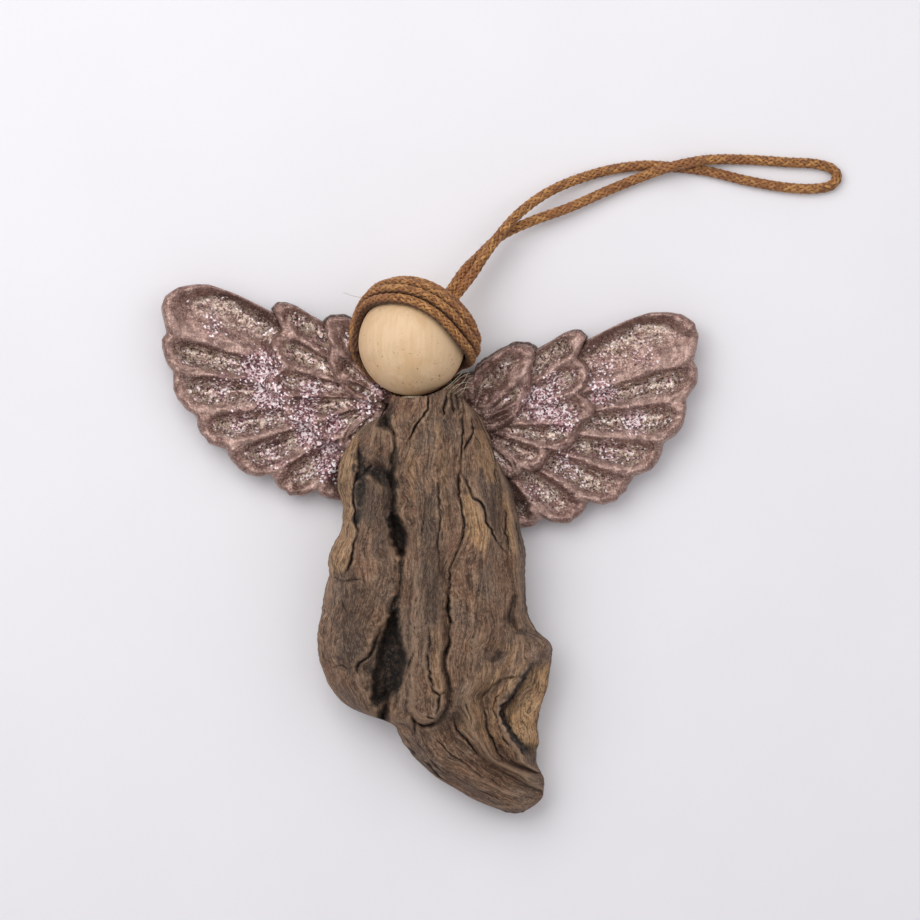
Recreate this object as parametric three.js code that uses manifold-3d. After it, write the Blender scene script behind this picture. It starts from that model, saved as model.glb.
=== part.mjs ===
// Angel ornament: a driftwood body, a wooden ball head with a wound cord for hair,
// a hanging loop of the same cord and a pair of cast feather wings, all glued together.
// Units are millimetres. The ornament lies on its back: +X right, +Y to the head, +Z up.
import * as THREE from 'three';
import { mergeVertices } from 'three/addons/utils/BufferGeometryUtils.js';
import Module from 'manifold-3d';

const wasm = await Module();
wasm.setup();

// Driving dimensions: the gap that touching pieces keep, and the glue.
const clearance = 0.3;
const glueThickness = 0.9;
const neckGlueRadius = 3.6;
const loopGlueRadius = 2.4;
const loopGlueHeight = 2.3;
const glueRim = 0.3;
const glueSquareness = 4;
const glueSides = 16;
const glueArcSteps = 4;
const wingGlueMargin = 1.6;

// Driving dimensions: the head and its hair. The crown is where the winding's axis leaves the head.
const headDiameter = 20;
const headCentre = new THREE.Vector3(-3.3, 37.8, 12.5);
const crown = new THREE.Vector3(0.3, 0.63, -0.716).normalize();
const neckDirection = new THREE.Vector3(0.02, -1, 0.12).normalize();
const headColumns = 28;
const headRows = 18;
const hairDiameter = 1.6;
const hairGap = 0.52;
const hairBrowAngle = 96;
const hairSway = 6.5;
const hairStartAzimuth = -165;
const hairEndAzimuth = 1455;
const hairStepsPerTurn = 24;
const hairSides = 6;

// Driving dimensions: the hanging loop.
const loopDiameter = 1.8;
const loopSides = 8;
const loopSteps = 70;
const loopStrandSpacing = 2;
const loopEndSetback = 0.8;
const loopPivotStandoff = 4;
const loopTurningGap = 0.45;
const loopHollowSides = 24;
const loopRoot = new THREE.Vector3(0.594, 0.732, -0.326).normalize();
const loopRoute = [
  [3.77, 48.1, 8.2], [6.5, 52, 6.6], [8.6, 54.1, 5.5], [13.45, 58.25, 4.0], [19.35, 61.1, 3.5],
  [26.3, 63.65, 2.6], [34.3, 67.2, 1.9], [41.5, 70.05, 2.2], [46.1, 71.5, 3.4], [52.7, 72.8, 2.0],
  [60.3, 72.9, 1.1], [67.9, 72.4, 1.1], [73.6, 72.05, 1.1], [76.5, 71.1, 1.1], [77.4, 69.7, 1.1],
  [76.3, 68.05, 1.1],
  [73.0, 67.4, 1.1], [67.9, 67.6, 1.1], [60.3, 68.9, 1.1], [52.7, 70.7, 1.1], [46.1, 71.5, 1.1],
  [40.5, 71.8, 1.1], [32.4, 70.5, 1.6], [23.2, 67.0, 3.4], [17.1, 62.65, 5.6], [13.5, 58.7, 6.7],
  [10.2, 53.9, 7.6], [8.4, 50.8, 7.9], [5.32, 46.83, 8.2],
];

// Driving dimensions: the wings, as seen from above. A layer of feathers has its height, its edge as
// [angle, reach] from the wing's root, with angles in degrees above the outward line, and the angles
// of the ridges between its feathers. Later layers lie on earlier ones.
const wingTilt = 3.5;
const wingRootHeight = 1.0;
const leftWingRoot = new THREE.Vector2(-7.6, 27.6);
const rightWingRoot = new THREE.Vector2(7.6, 22.4);
const wingTabThickness = 4.2;
const wingTabRadius = 6.2;
const wingTabCentre = new THREE.Vector2(2.2, -8.5);
const wingRootRadius = 2.5;
const troughDepth = 1.5;
const troughWidth = 6;
const troughLean = 0.3;
const tipRimStart = 0.8;
const tipRimWidth = 4.5;
const edgeRounding = 0.6;
const hubRadius = 0.8;
const layerStep = 0.3;
const featherLayers = [
  {
    height: 3.4,
    edge: [
      [36.5, 20], [36, 27.7], [34, 35], [32.1, 40.1], [30, 42.7], [27.6, 45.1], [24.3, 46.6], [21.5, 46.3],
      [18.8, 45], [16.1, 43.9], [14.2, 44.3], [12.4, 44.1], [10.3, 43.3], [6.8, 41.1], [4.6, 41], [2.3, 40.7],
      [-0.4, 40], [-3, 38.7], [-5, 36.8], [-7.9, 36.6], [-10.8, 36.2], [-14.2, 35.1], [-17.6, 32.3],
      [-22.5, 31.9], [-27.9, 30.8], [-31, 29.2], [-33.1, 26.7], [-38.3, 26.9], [-44.7, 26.2], [-48.8, 24.6],
      [-51.7, 22.4], [-57.4, 22.4], [-63.9, 21.6], [-69.3, 19.8], [-74.3, 16.6], [-80, 12], [-88, 8],
    ],
    ridges: [36.5, 16.1, 6.8, -5, -17.6, -33.1, -51.7, -80],
  },
  {
    height: 4.5,
    edge: [
      [50, 17.5], [48.8, 18.7], [46.3, 21.6], [44.7, 24.5], [43, 26.2], [40.6, 27.4], [36.9, 27.6], [35.2, 26],
      [32.4, 23.9], [27.8, 24.6], [23.4, 24.5], [19.7, 23.7], [16.5, 21.5], [11.5, 23.1], [7.3, 23.7],
      [3.9, 23.3], [1.1, 21.2], [-2.8, 20.5], [-8, 20.3], [-12.9, 19.3], [-16.1, 17.7], [-17.5, 15.9],
      [-23.7, 16], [-30.8, 15.7], [-36.7, 14.7], [-40.4, 13.3], [-46.8, 13.3], [-52.8, 12.6], [-57.4, 11.2],
      [-64, 8],
    ],
    ridges: [49.5, 32.4, 16.5, 1.1, -17.5, -40.4, -60],
  },
  {
    height: 5.3,
    edge: [
      [86, 9.5], [84, 10.9], [72.5, 13.6], [62.1, 17.1], [56.3, 18.4], [52.1, 18.9], [48.9, 18.6], [45.7, 17.3],
      [41.8, 15.2], [36.4, 14.3], [32.5, 13.9], [24.6, 11.9], [16.3, 10.2], [7.1, 8], [-4.8, 6], [-20, 4],
    ],
    ridges: [86, 41.8, 24.6, -6],
  },
];
const featherColumns = 96;
const rootColumns = 10;
const layerRings = [0.2, 0.45, 0.72, 0.9, 1];
const fanLow = -88;
const fanHigh = 86;

// Driving dimensions: the driftwood. Its two edges as [y, x], and its heights as [y, z].
const neckEnd = 30;
const footEnd = -50.85;
const bodySlices = 60;
const bodyTopPoints = 32;
const bodyBackPoints = 10;
const backDip = 1;
const footCrowding = 0.25;
const topSquareness = 3;
const backSquareness = 4;
const leftEdge = [
  [30, -6.9], [27.6, -7.3], [24.5, -8.2], [23.3, -10.5], [22, -13.1], [19.2, -15], [16.2, -16.7],
  [13.3, -17.3], [10.7, -17.2], [7.5, -16.5], [4.9, -16.4], [2.2, -16.9], [-0.2, -18.2], [-3.4, -19.3],
  [-5.8, -18.9], [-7.3, -19.5], [-14.5, -20.8], [-18.1, -21.2], [-22, -20.8], [-26.1, -19.5],
  [-29.4, -17.2],
  [-31.2, -14.6], [-32.5, -11.4], [-33.7, -6.9], [-36.9, -5.4], [-38.8, -4.3], [-41.6, -1.7],
  [-44, 0.8], [-47.4, 6.6],
  [-49.2, 9.9], [-50.3, 12.9], [-50.9, 15.6],
];
const rightEdge = [
  [30, 5], [29.1, 5.3], [26.9, 6.6], [24.1, 9.6], [20.1, 11.5], [16.5, 12.2], [13.7, 13.8], [10.2, 15.4],
  [5.9, 16.7], [1.7, 17.4], [-1.5, 18], [-10.9, 18.1], [-14.5, 19], [-17.1, 20.5], [-18.2, 22.6],
  [-19.2, 23.1], [-24.3, 22.7], [-27.5, 22.2], [-31, 20.7], [-33.7, 20.3], [-37.8, 20.6],
  [-41, 19.8], [-42.7, 20.9], [-44.7, 21.8], [-48.1, 21.4], [-50.3, 19.3], [-50.9, 16.6],
];
const edgeHeight = [[30, 13], [20, 10.5], [10, 9.4], [-10, 8], [-30, 7], [-45, 6], [-51, 5]];
const crownHeight = [
  [30, 16], [24, 18], [15, 19], [5, 18.6], [-5, 18.2], [-15, 17.4], [-25, 16.4], [-33, 14.6], [-40, 12.4],
  [-46, 10.4], [-49.5, 8.6], [-51, 6],
];

// The driftwood's lobes: the valleys between them as [y, x] from neck to foot, and how the lobes rise.
const lobeRise = 2;
const lobeDip = 1;
const valleys = [
  [
    [30, -8.4], [23, -8.1], [18, -6.4], [12.9, -7.5], [5.4, -6.9], [-3, -5.1], [-11.4, -6.6], [-17.2, -7.5],
    [-28.9, -7.8], [-33.7, -9], [-51, -9],
  ],
  [
    [30, 6.1], [14.1, 5.8], [2.1, 6.4], [-5.1, 3.9], [-15, 3.9], [-22, 2.9], [-30.1, 3.6], [-34.8, 5.1],
    [-39.9, 9.3], [-43.4, 15], [-46, 22], [-51, 24],
  ],
  [
    [30, 6.3], [24, 9], [17.4, 12], [2, 14.3], [-9.9, 15.8], [-16, 15], [-25.6, 12.5], [-28.3, 9.9], [-36, 11.4],
    [-40.8, 14.2], [-43, 20], [-51, 24],
  ],
];

// The driftwood's hollows and its raised middle ridge, as [x, y, radius] along their middles, with heights.
const hollowFade = 0.5;
const hollowSlope = 1.3;
const hollows = [
  { run: [[-8.3, 25.5, 0.9], [-8.1, 22.6, 0.8], [-6.9, 20.6, 0.4]], height: -3 },
  { run: [[-6.9, 20.6, 0.5], [-6.8, 15, 0.8], [-7.3, 12.6, 1.1], [-6.6, 6, 0.8]], height: -2.4 },
  { run: [[-6.5, 5, 0.8], [-5.9, 1.8, 1.8], [-5.4, -1.6, 1]], height: -4.6 },
  {
    run: [
      [-6.4, -12.9, 0.7], [-7.2, -16.8, 1.9], [-6.9, -21.4, 2.8], [-7.9, -25.2, 2.9], [-9.4, -28.4, 1.7],
    ],
    height: -4.4,
  },
  { run: [[-7.9, -28.6, 0.6], [-8.8, -33.4, 0.8]], height: -4 },
  { run: [[15.9, -9.6, 0.5], [15, -13.4, 0.8], [16.4, -15.9, 0.9], [19.6, -17, 0.6]], height: -1.6 },
  { run: [[20.4, -25.5, 1.2], [18.6, -29, 3.6], [18.4, -33.5, 3.8], [20, -38, 1.4]], height: -3.2 },
  { run: [[0, -4, 2.6], [-0.3, -12, 3.2], [-0.6, -22, 3], [-0.4, -29.8, 3.6]], height: 1.3 },
];

const zAxis = new THREE.Vector3(0, 0, 1);
const yAxis = new THREE.Vector3(0, 1, 0);
const headRadius = headDiameter / 2;
const loopPivotDistance = headRadius + loopPivotStandoff;
const hairRadius = hairDiameter / 2;
const hairPathRadius = headRadius + clearance + hairRadius;
const hairPitch = hairDiameter + hairGap;
const seatRadius = headRadius + 2 * clearance + glueThickness;
const hairClearRadius = hairPathRadius + hairRadius + clearance;
const wingGlueRadius = wingTabRadius - wingGlueMargin;
const wingSeatHeight = wingTabThickness + glueThickness + 2 * clearance;
const fanAngles = Array.from(
  { length: featherColumns },
  (_, i) => THREE.MathUtils.lerp(fanLow, fanHigh, i / featherColumns),
);
const rootAngles = Array.from(
  { length: rootColumns },
  (_, i) => THREE.MathUtils.lerp(fanHigh, fanLow + 360, i / rootColumns),
);

// A material with its colour, roughness and metalness.
function material(color, roughness, metalness = 0) {
  return new THREE.MeshStandardMaterial({ color, roughness, metalness });
}

// The value at a place in a table of [place, value], straight between its points.
function interpolate(table, place) {
  const next = Math.max(1, table.findIndex(([key]) => key <= place));
  const [placeA, valueA] = table[next - 1];
  const [placeB, valueB] = table[next];
  return THREE.MathUtils.lerp(valueA, valueB, (place - placeA) / (placeB - placeA));
}

// A closed body through rings of equal point counts, closed by fans at its two end points.
function loft(rings, startPoint, endPoint) {
  const count = rings[0].length;
  const points = [...rings.flat(), startPoint, endPoint];
  const start = points.length - 2;
  const end = points.length - 1;
  const triangles = [];
  for (let j = 0; j < count; j += 1) {
    const k = (j + 1) % count;
    triangles.push(start, k, j);
    for (let i = 0; i + 1 < rings.length; i += 1) {
      const low = i * count;
      const high = low + count;
      triangles.push(low + j, low + k, high + k, low + j, high + k, high + j);
    }
    const last = (rings.length - 1) * count;
    triangles.push(end, last + j, last + k);
  }
  const geometry = new THREE.BufferGeometry().setFromPoints(points);
  geometry.setIndex(triangles);
  return geometry;
}

// The middle of a ring of points.
function middle(ring) {
  return ring.reduce((sum, point) => sum.add(point), new THREE.Vector3()).divideScalar(ring.length);
}

// A solid from a geometry, for cutting, with an optional placing matrix.
function solid(geometry, matrix = new THREE.Matrix4()) {
  const plain = geometry.clone().applyMatrix4(matrix);
  plain.deleteAttribute('normal');
  plain.deleteAttribute('uv');
  const merged = mergeVertices(plain, 1e-4);
  return new wasm.Manifold(new wasm.Mesh({
    numProp: 3,
    vertProperties: new Float32Array(merged.attributes.position.array),
    triVerts: new Uint32Array(merged.index.array),
  }));
}

// A geometry from a solid.
function geometryOf(body) {
  const mesh = body.getMesh();
  const geometry = new THREE.BufferGeometry();
  geometry.setAttribute('position', new THREE.BufferAttribute(mesh.vertProperties, mesh.numProp));
  geometry.setIndex(new THREE.BufferAttribute(mesh.triVerts, 1));
  geometry.computeVertexNormals();
  return geometry;
}

// A named mesh.
function piece(name, geometry, look) {
  const mesh = new THREE.Mesh(geometry, look);
  mesh.name = name;
  return mesh;
}

// A ball about the head's centre, for cutting what comes near the head.
function headBall(radius) {
  const ball = new THREE.SphereGeometry(radius, 40, 28);
  return solid(ball, new THREE.Matrix4().setPosition(headCentre));
}

// The part of the hair's clearance ball on the crown's side of the brow.
function hairSpace() {
  const lowest = THREE.MathUtils.degToRad(hairBrowAngle + hairSway);
  const low = hairPathRadius * Math.cos(lowest) - hairRadius - hairPitch / 2 - clearance;
  const size = 4 * hairClearRadius;
  const box = new THREE.BoxGeometry(size, size, size);
  const turn = new THREE.Quaternion().setFromUnitVectors(zAxis, crown);
  const centre = headCentre.clone().addScaledVector(crown, low + size / 2);
  const place = new THREE.Matrix4().compose(centre, turn, new THREE.Vector3(1, 1, 1));
  return headBall(hairClearRadius).intersect(solid(box, place));
}

// The place of a wing's own frame: its root, with the tip tilted up. Side is -1 left and 1 right.
function wingPlace(side) {
  const root = side < 0 ? leftWingRoot : rightWingRoot;
  const turn = new THREE.Euler(0, -side * THREE.MathUtils.degToRad(wingTilt), 0);
  const place = new THREE.Object3D();
  place.position.set(root.x, root.y, wingRootHeight);
  place.rotation.copy(turn);
  place.updateMatrix();
  return place;
}

// How far a layer of feathers reaches from the wing's root at an angle.
function layerReach({ edge }, angle) {
  if (angle > edge[0][0] || angle < edge[edge.length - 1][0]) return 0;
  return interpolate(edge, angle);
}

// How far a ray from the wing's root runs inside the round tab that is glued under the body.
function tabReach(angle) {
  const ray = new THREE.Vector2(1, 0).rotateAround(new THREE.Vector2(), THREE.MathUtils.degToRad(angle));
  const along = wingTabCentre.dot(ray);
  const across = Math.abs(wingTabCentre.cross(ray));
  if (across > wingTabRadius || along < 0) return 0;
  return along + Math.sqrt(wingTabRadius ** 2 - across ** 2);
}

// The reaches of the top, middle and lowest layer at an angle, each a little past the one above.
function wingReaches(angle) {
  const reaches = [];
  let least = hubRadius;
  for (const layer of [...featherLayers].reverse()) {
    least = Math.max(layerReach(layer, angle), least + layerStep);
    reaches.push(least);
  }
  reaches.push(Math.max(reaches.pop(), tabReach(angle), wingRootRadius));
  return reaches;
}

// The wing's outline as a distance from the root at an angle.
function wingReach(angle) {
  return Math.max(...wingReaches(angle));
}

// A layer's height at a place: a trough along each feather, steeper on its upper side, inside a rim.
function layerHeight({ height, ridges }, angle, reach, distance) {
  const turn = THREE.MathUtils.clamp(angle, ridges[ridges.length - 1], ridges[0]);
  const next = Math.max(1, ridges.findIndex((ridge) => ridge <= turn));
  const width = ridges[next - 1] - ridges[next];
  const across = 2 * (ridges[next - 1] - turn) / width - 1 + troughLean;
  const lean = across < 0 ? across / (1 - troughLean) : across / (1 + troughLean);
  const tip = THREE.MathUtils.smoothstep(reach - distance, tipRimStart, tipRimStart + tipRimWidth);
  const root = THREE.MathUtils.smoothstep(distance / reach, 0.12, 0.4);
  const size = Math.min(1, THREE.MathUtils.degToRad(width) * distance / troughWidth);
  return height - troughDepth * size * tip * root * (1 + Math.cos(Math.PI * lean)) / 2;
}

// One wing: rings of points about its root on the feathered face, and a flat back.
function wingGeometry(side) {
  const angles = [...fanAngles, ...rootAngles];
  if (side < 0) angles.reverse();
  const tilt = THREE.MathUtils.degToRad(wingTilt);
  const point = (angle, distance, height) => {
    const turn = THREE.MathUtils.degToRad(angle);
    const out = (distance * Math.cos(turn) + height * Math.sin(tilt)) / Math.cos(tilt);
    return new THREE.Vector3(side * out, distance * Math.sin(turn), height);
  };
  const layers = [...featherLayers].reverse();
  const rings = [];
  layers.forEach((layer, number) => layerRings.forEach((share) => {
    rings.unshift(angles.map((angle) => {
      const reaches = wingReaches(angle);
      const inner = number > 0 ? reaches[number - 1] : 0;
      const distance = THREE.MathUtils.lerp(inner, reaches[number], share);
      return point(angle, distance, layerHeight(layer, angle, reaches[number], distance));
    }));
  }));
  const rim = rings.shift();
  rings.unshift(rim.map((place) => place.clone().setZ(edgeRounding * place.z)));
  rings.unshift(angles.map((angle) => point(angle, wingReach(angle), 0)));
  const top = featherLayers[featherLayers.length - 1].height;
  return loft(rings, new THREE.Vector3(), new THREE.Vector3(0, 0, top));
}

// The space over a wing's tab, which is faced flat for the glue.
function tabSpace(side) {
  const deep = wingSeatHeight;
  const disc = new THREE.CylinderGeometry(wingTabRadius, wingTabRadius, deep, 2 * glueSides);
  disc.rotateX(Math.PI / 2);
  disc.translate(side * wingTabCentre.x, wingTabCentre.y, wingTabThickness + deep / 2);
  return solid(disc, wingPlace(side).matrix);
}

// A wing clear of the head and its hair.
function wing(name, side, look) {
  const place = wingPlace(side);
  const body = solid(wingGeometry(side), place.matrix).subtract(headBall(hairClearRadius))
    .subtract(tabSpace(side));
  const back = place.matrix.clone().invert();
  const mesh = piece(name, geometryOf(body).applyMatrix4(back), look);
  mesh.position.copy(place.position);
  mesh.rotation.copy(place.rotation);
  return mesh;
}

// The pad of glue between a wing's tab and its seat under the body.
function wingGlue(name, side, look) {
  const disc = new THREE.CylinderGeometry(wingGlueRadius, wingGlueRadius, glueThickness, glueSides);
  disc.rotateX(Math.PI / 2);
  const middleHeight = wingTabThickness + clearance + glueThickness / 2;
  disc.translate(side * wingTabCentre.x, wingTabCentre.y, middleHeight);
  const place = wingPlace(side);
  const mesh = piece(name, disc, look);
  mesh.position.copy(place.position);
  mesh.rotation.copy(place.rotation);
  return mesh;
}

// The space that a wing and its glue need under the body.
function wingSpace(side) {
  const place = wingPlace(side);
  const heights = fanAngles.map((angle) => wingReach(angle) * Math.sin(THREE.MathUtils.degToRad(angle)));
  const inner = Math.min(-wingRootRadius, wingTabCentre.x - wingTabRadius) - clearance;
  const outer = Math.max(...fanAngles.map(wingReach)) + clearance;
  const low = Math.min(...heights) - 2 * clearance;
  const high = neckEnd - place.position.y + clearance;
  const deep = 2 * wingSeatHeight;
  const box = new THREE.BoxGeometry(outer - inner, high - low, wingSeatHeight + deep);
  box.translate(side * (inner + outer) / 2, (high + low) / 2, (wingSeatHeight - deep) / 2);
  return solid(box, place.matrix);
}

// How far a place in plan lies inside a run of circles, given as [x, y, radius] along its middle.
function insideRun(run, x, y) {
  const place = new THREE.Vector3(x, y, 0);
  const near = new THREE.Vector3();
  let most = -Infinity;
  for (let i = 0; i + 1 < run.length; i += 1) {
    const [ax, ay, start] = run[i];
    const [bx, by, end] = run[i + 1];
    const line = new THREE.Line3(new THREE.Vector3(ax, ay, 0), new THREE.Vector3(bx, by, 0));
    const share = line.closestPointToPointParameter(place, true);
    line.at(share, near);
    most = Math.max(most, THREE.MathUtils.lerp(start, end, share) - near.distanceTo(place));
  }
  return most;
}

// What the lobes between the valleys and the edges add to the driftwood's height at a place.
function lobeHeight(x, y, left, right) {
  const lines = [left, ...valleys.map((valley) => interpolate(valley, y)), right];
  const low = Math.max(...lines.filter((line) => line <= x), left);
  const high = Math.min(...lines.filter((line) => line > x), right);
  const share = high > low ? THREE.MathUtils.clamp((x - low) / (high - low), 0, 1) : 0;
  return lobeRise * (1 - (2 * share - 1) ** 2) - lobeDip;
}

// What the lobes, the hollows and the ridge add to the driftwood's height at a place.
function reliefHeight(x, y, left, right) {
  return hollows.reduce((sum, { run, height }) => {
    const inside = insideRun(run, x, y);
    return sum + height * THREE.MathUtils.smoothstep(inside, -hollowFade, hollowSlope);
  }, lobeHeight(x, y, left, right));
}

// One slice across the driftwood: its top from left to right, then its back from right to left.
function bodySlice(y) {
  const left = interpolate(leftEdge, y);
  const right = interpolate(rightEdge, y);
  const edge = interpolate(edgeHeight, y);
  const rise = interpolate(crownHeight, y) - edge;
  const place = (share) => THREE.MathUtils.lerp(left, right, (1 + share) / 2);
  const points = [];
  for (let i = 0; i < bodyTopPoints; i += 1) {
    const share = -Math.cos(Math.PI * i / bodyTopPoints);
    const dome = Math.sqrt(Math.max(0, 1 - Math.abs(share) ** topSquareness));
    const x = place(share);
    points.push(new THREE.Vector3(x, y, edge + dome * (rise + reliefHeight(x, y, left, right))));
  }
  for (let i = 0; i < bodyBackPoints; i += 1) {
    const share = Math.cos(Math.PI * i / bodyBackPoints);
    const dome = Math.sqrt(Math.max(0, 1 - Math.abs(share) ** backSquareness));
    points.push(new THREE.Vector3(place(share), y, edge - dome * (edge + backDip)));
  }
  return points;
}

// The driftwood, cut flat at the back, with seats for the head and the wings.
function driftwood(look) {
  const slices = [];
  for (let i = 0; i <= bodySlices; i += 1) {
    const even = i / bodySlices;
    const share = THREE.MathUtils.lerp(even, Math.sin(Math.PI / 2 * even), footCrowding);
    slices.unshift(bodySlice(THREE.MathUtils.lerp(neckEnd, footEnd, share)));
  }
  const raw = solid(loft(slices, middle(slices[0]), middle(slices[bodySlices])));
  const length = neckEnd - footEnd;
  const table = new THREE.BoxGeometry(2 * length, 2 * length, length).translate(0, 0, -length / 2);
  const cut = raw.subtract(solid(table)).subtract(headBall(seatRadius)).subtract(hairSpace())
    .subtract(wingSpace(-1)).subtract(wingSpace(1));
  return piece('driftwood_body', geometryOf(cut), look);
}

// The path of the hair: a spiral over the head from the brow towards the crown.
function hairPath() {
  const front = zAxis.clone().addScaledVector(crown, -zAxis.dot(crown)).normalize();
  const side = crown.clone().cross(front);
  const pitchAngle = hairPitch / hairPathRadius;
  const brow = THREE.MathUtils.degToRad(hairBrowAngle);
  const sway = THREE.MathUtils.degToRad(hairSway);
  const steps = Math.round((hairEndAzimuth - hairStartAzimuth) / 360 * hairStepsPerTurn);
  const points = [];
  for (let i = 0; i <= steps; i += 1) {
    const degrees = THREE.MathUtils.lerp(hairStartAzimuth, hairEndAzimuth, i / steps);
    const azimuth = THREE.MathUtils.degToRad(degrees);
    const polar = brow + sway * Math.sin(2 * azimuth) - pitchAngle * azimuth / (2 * Math.PI);
    const out = front.clone().multiplyScalar(Math.cos(azimuth)).addScaledVector(side, Math.sin(azimuth));
    const direction = crown.clone().multiplyScalar(Math.cos(polar)).addScaledVector(out, Math.sin(polar));
    points.push(headCentre.clone().addScaledVector(direction, hairPathRadius));
  }
  return points;
}

// The least gap of the hair to itself, between points over half a turn apart.
function leastHairGap(path) {
  let least = Infinity;
  for (let i = 0; i < path.length; i += 1) {
    for (let j = i + hairStepsPerTurn / 2; j < path.length; j += 1) {
      least = Math.min(least, path[i].distanceTo(path[j]) - hairDiameter);
    }
  }
  return least;
}

// The hair: one unbroken tube round the head.
function hair(look) {
  const path = hairPath();
  console.log(`hair: least gap to itself ${leastHairGap(path).toFixed(2)} mm`);
  const rings = path.map((point, i) => {
    const before = path[Math.max(0, i - 1)];
    const after = path[Math.min(path.length - 1, i + 1)];
    const along = after.clone().sub(before).normalize();
    const out = point.clone().sub(headCentre).normalize();
    const across = along.clone().cross(out).normalize();
    const ring = [];
    for (let k = 0; k < hairSides; k += 1) {
      const turn = 2 * Math.PI * (k + 0.5) / hairSides;
      ring.push(point.clone().addScaledVector(out, hairRadius * Math.cos(turn))
        .addScaledVector(across, hairRadius * Math.sin(turn)));
    }
    return ring;
  });
  return piece('hair_winding', loft(rings, path[0], path[path.length - 1]), look);
}

// The hanging loop: a plain tube along its route, lying on the table beyond the head.
function hangingLoop(look) {
  const points = loopRoute.map((point) => new THREE.Vector3(...point));
  const route = new THREE.CatmullRomCurve3(points, false, 'centripetal');
  const section = new THREE.Shape();
  for (let k = 0; k < loopSides; k += 1) {
    const turn = 2 * Math.PI * (k + 0.5) / loopSides;
    const point = [Math.cos(turn) * loopDiameter / 2, Math.sin(turn) * loopDiameter / 2];
    if (k === 0) section.moveTo(...point);
    else section.lineTo(...point);
  }
  section.closePath();
  console.log(`loop: length ${route.getLength().toFixed(1)} mm`);
  const tube = new THREE.ExtrudeGeometry(section, { steps: loopSteps, extrudePath: route });
  return piece('hanging_loop', tube, look);
}

// A round dab of glue on the head, along a direction from the head's centre, hollowed to the ball.
function headGlue(name, direction, radius, thickness, look) {
  const inner = headRadius + clearance;
  const edge = Math.asin(radius / inner);
  const at = (distance, share) => {
    const turn = edge * share;
    return new THREE.Vector2(distance * Math.sin(turn), distance * Math.cos(turn));
  };
  const profile = [];
  for (let i = 0; i <= glueArcSteps; i += 1) {
    profile.push(at(inner, i / glueArcSteps));
  }
  for (let i = glueArcSteps; i >= 0; i -= 1) {
    profile.push(at(inner + thickness(i / glueArcSteps), i / glueArcSteps));
  }
  const dab = piece(name, new THREE.LatheGeometry(profile, glueSides), look);
  dab.position.copy(headCentre);
  dab.quaternion.setFromUnitVectors(yAxis, direction);
  return dab;
}

// The glue at the loop's root, with a round hollow in which the two cord ends can turn.
function loopGlue(look) {
  const swell = (share) => (1 - share ** glueSquareness) ** (1 / glueSquareness);
  const domed = (share) => glueRim + (loopGlueHeight - glueRim) * swell(share);
  const dab = headGlue('loop_glue', loopRoot, loopGlueRadius, domed, look);
  const reach = Math.hypot((loopStrandSpacing + loopDiameter) / 2, loopEndSetback);
  const hollow = new THREE.SphereGeometry(reach + loopTurningGap, loopHollowSides, loopHollowSides / 2);
  const pivot = new THREE.Matrix4().makeTranslation(0, loopPivotDistance, 0);
  dab.geometry = geometryOf(solid(dab.geometry).subtract(solid(hollow, pivot)));
  return dab;
}

const evenGlue = () => glueThickness;
const ball = new THREE.SphereGeometry(headRadius, headColumns, headRows);
const head = piece('wooden_head', ball, material(0xdcc09c, 0.6));
head.position.copy(headCentre);

const wingLook = () => material(0x92736a, 0.5, 0.4);
const glueLook = () => material(0xe6dfc8, 0.3);
const cordLook = () => material(0x9a6c48, 0.8);

const ornament = new THREE.Group();
ornament.add(
  driftwood(material(0x6a5446, 0.9)),
  head,
  hair(cordLook()),
  hangingLoop(cordLook()),
  wing('left_wing', -1, wingLook()),
  wing('right_wing', 1, wingLook()),
  wingGlue('left_wing_glue', -1, glueLook()),
  wingGlue('right_wing_glue', 1, glueLook()),
  headGlue('neck_glue', neckDirection, neckGlueRadius, evenGlue, glueLook()),
  loopGlue(glueLook()),
);

export default ornament;
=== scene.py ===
"""A driftwood angel ornament lying on a pale table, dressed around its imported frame. Lengths are metres."""
import math

import bmesh
import bpy
import numpy as np
from mathutils import Matrix, Vector


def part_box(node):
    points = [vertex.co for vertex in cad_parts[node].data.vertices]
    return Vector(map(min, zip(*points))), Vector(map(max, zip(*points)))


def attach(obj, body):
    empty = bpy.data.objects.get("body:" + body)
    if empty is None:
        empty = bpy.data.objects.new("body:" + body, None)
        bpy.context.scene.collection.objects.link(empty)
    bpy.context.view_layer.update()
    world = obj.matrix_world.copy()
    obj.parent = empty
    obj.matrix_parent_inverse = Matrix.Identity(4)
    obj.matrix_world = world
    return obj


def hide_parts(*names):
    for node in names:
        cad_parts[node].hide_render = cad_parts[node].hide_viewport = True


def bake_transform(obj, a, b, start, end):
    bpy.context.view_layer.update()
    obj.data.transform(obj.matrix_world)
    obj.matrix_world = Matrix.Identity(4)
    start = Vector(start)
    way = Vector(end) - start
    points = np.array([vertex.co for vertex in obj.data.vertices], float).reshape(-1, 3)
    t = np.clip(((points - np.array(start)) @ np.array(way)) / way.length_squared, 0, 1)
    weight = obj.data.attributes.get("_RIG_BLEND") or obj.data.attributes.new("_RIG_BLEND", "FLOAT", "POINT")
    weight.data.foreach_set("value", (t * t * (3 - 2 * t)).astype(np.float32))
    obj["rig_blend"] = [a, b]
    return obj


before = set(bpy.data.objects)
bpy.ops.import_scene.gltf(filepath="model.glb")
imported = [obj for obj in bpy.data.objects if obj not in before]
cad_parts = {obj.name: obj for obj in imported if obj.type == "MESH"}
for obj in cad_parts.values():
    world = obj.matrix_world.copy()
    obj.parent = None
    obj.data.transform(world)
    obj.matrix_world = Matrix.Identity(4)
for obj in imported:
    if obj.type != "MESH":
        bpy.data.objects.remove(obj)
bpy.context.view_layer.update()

MM = 0.001
UP = np.array((0, 0, 1.0))
# Points to each stretch of a route, and how near corners have to lie to merge.
ROUTE_FINENESS = 40
MERGE_DISTANCE = 1e-7

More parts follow.
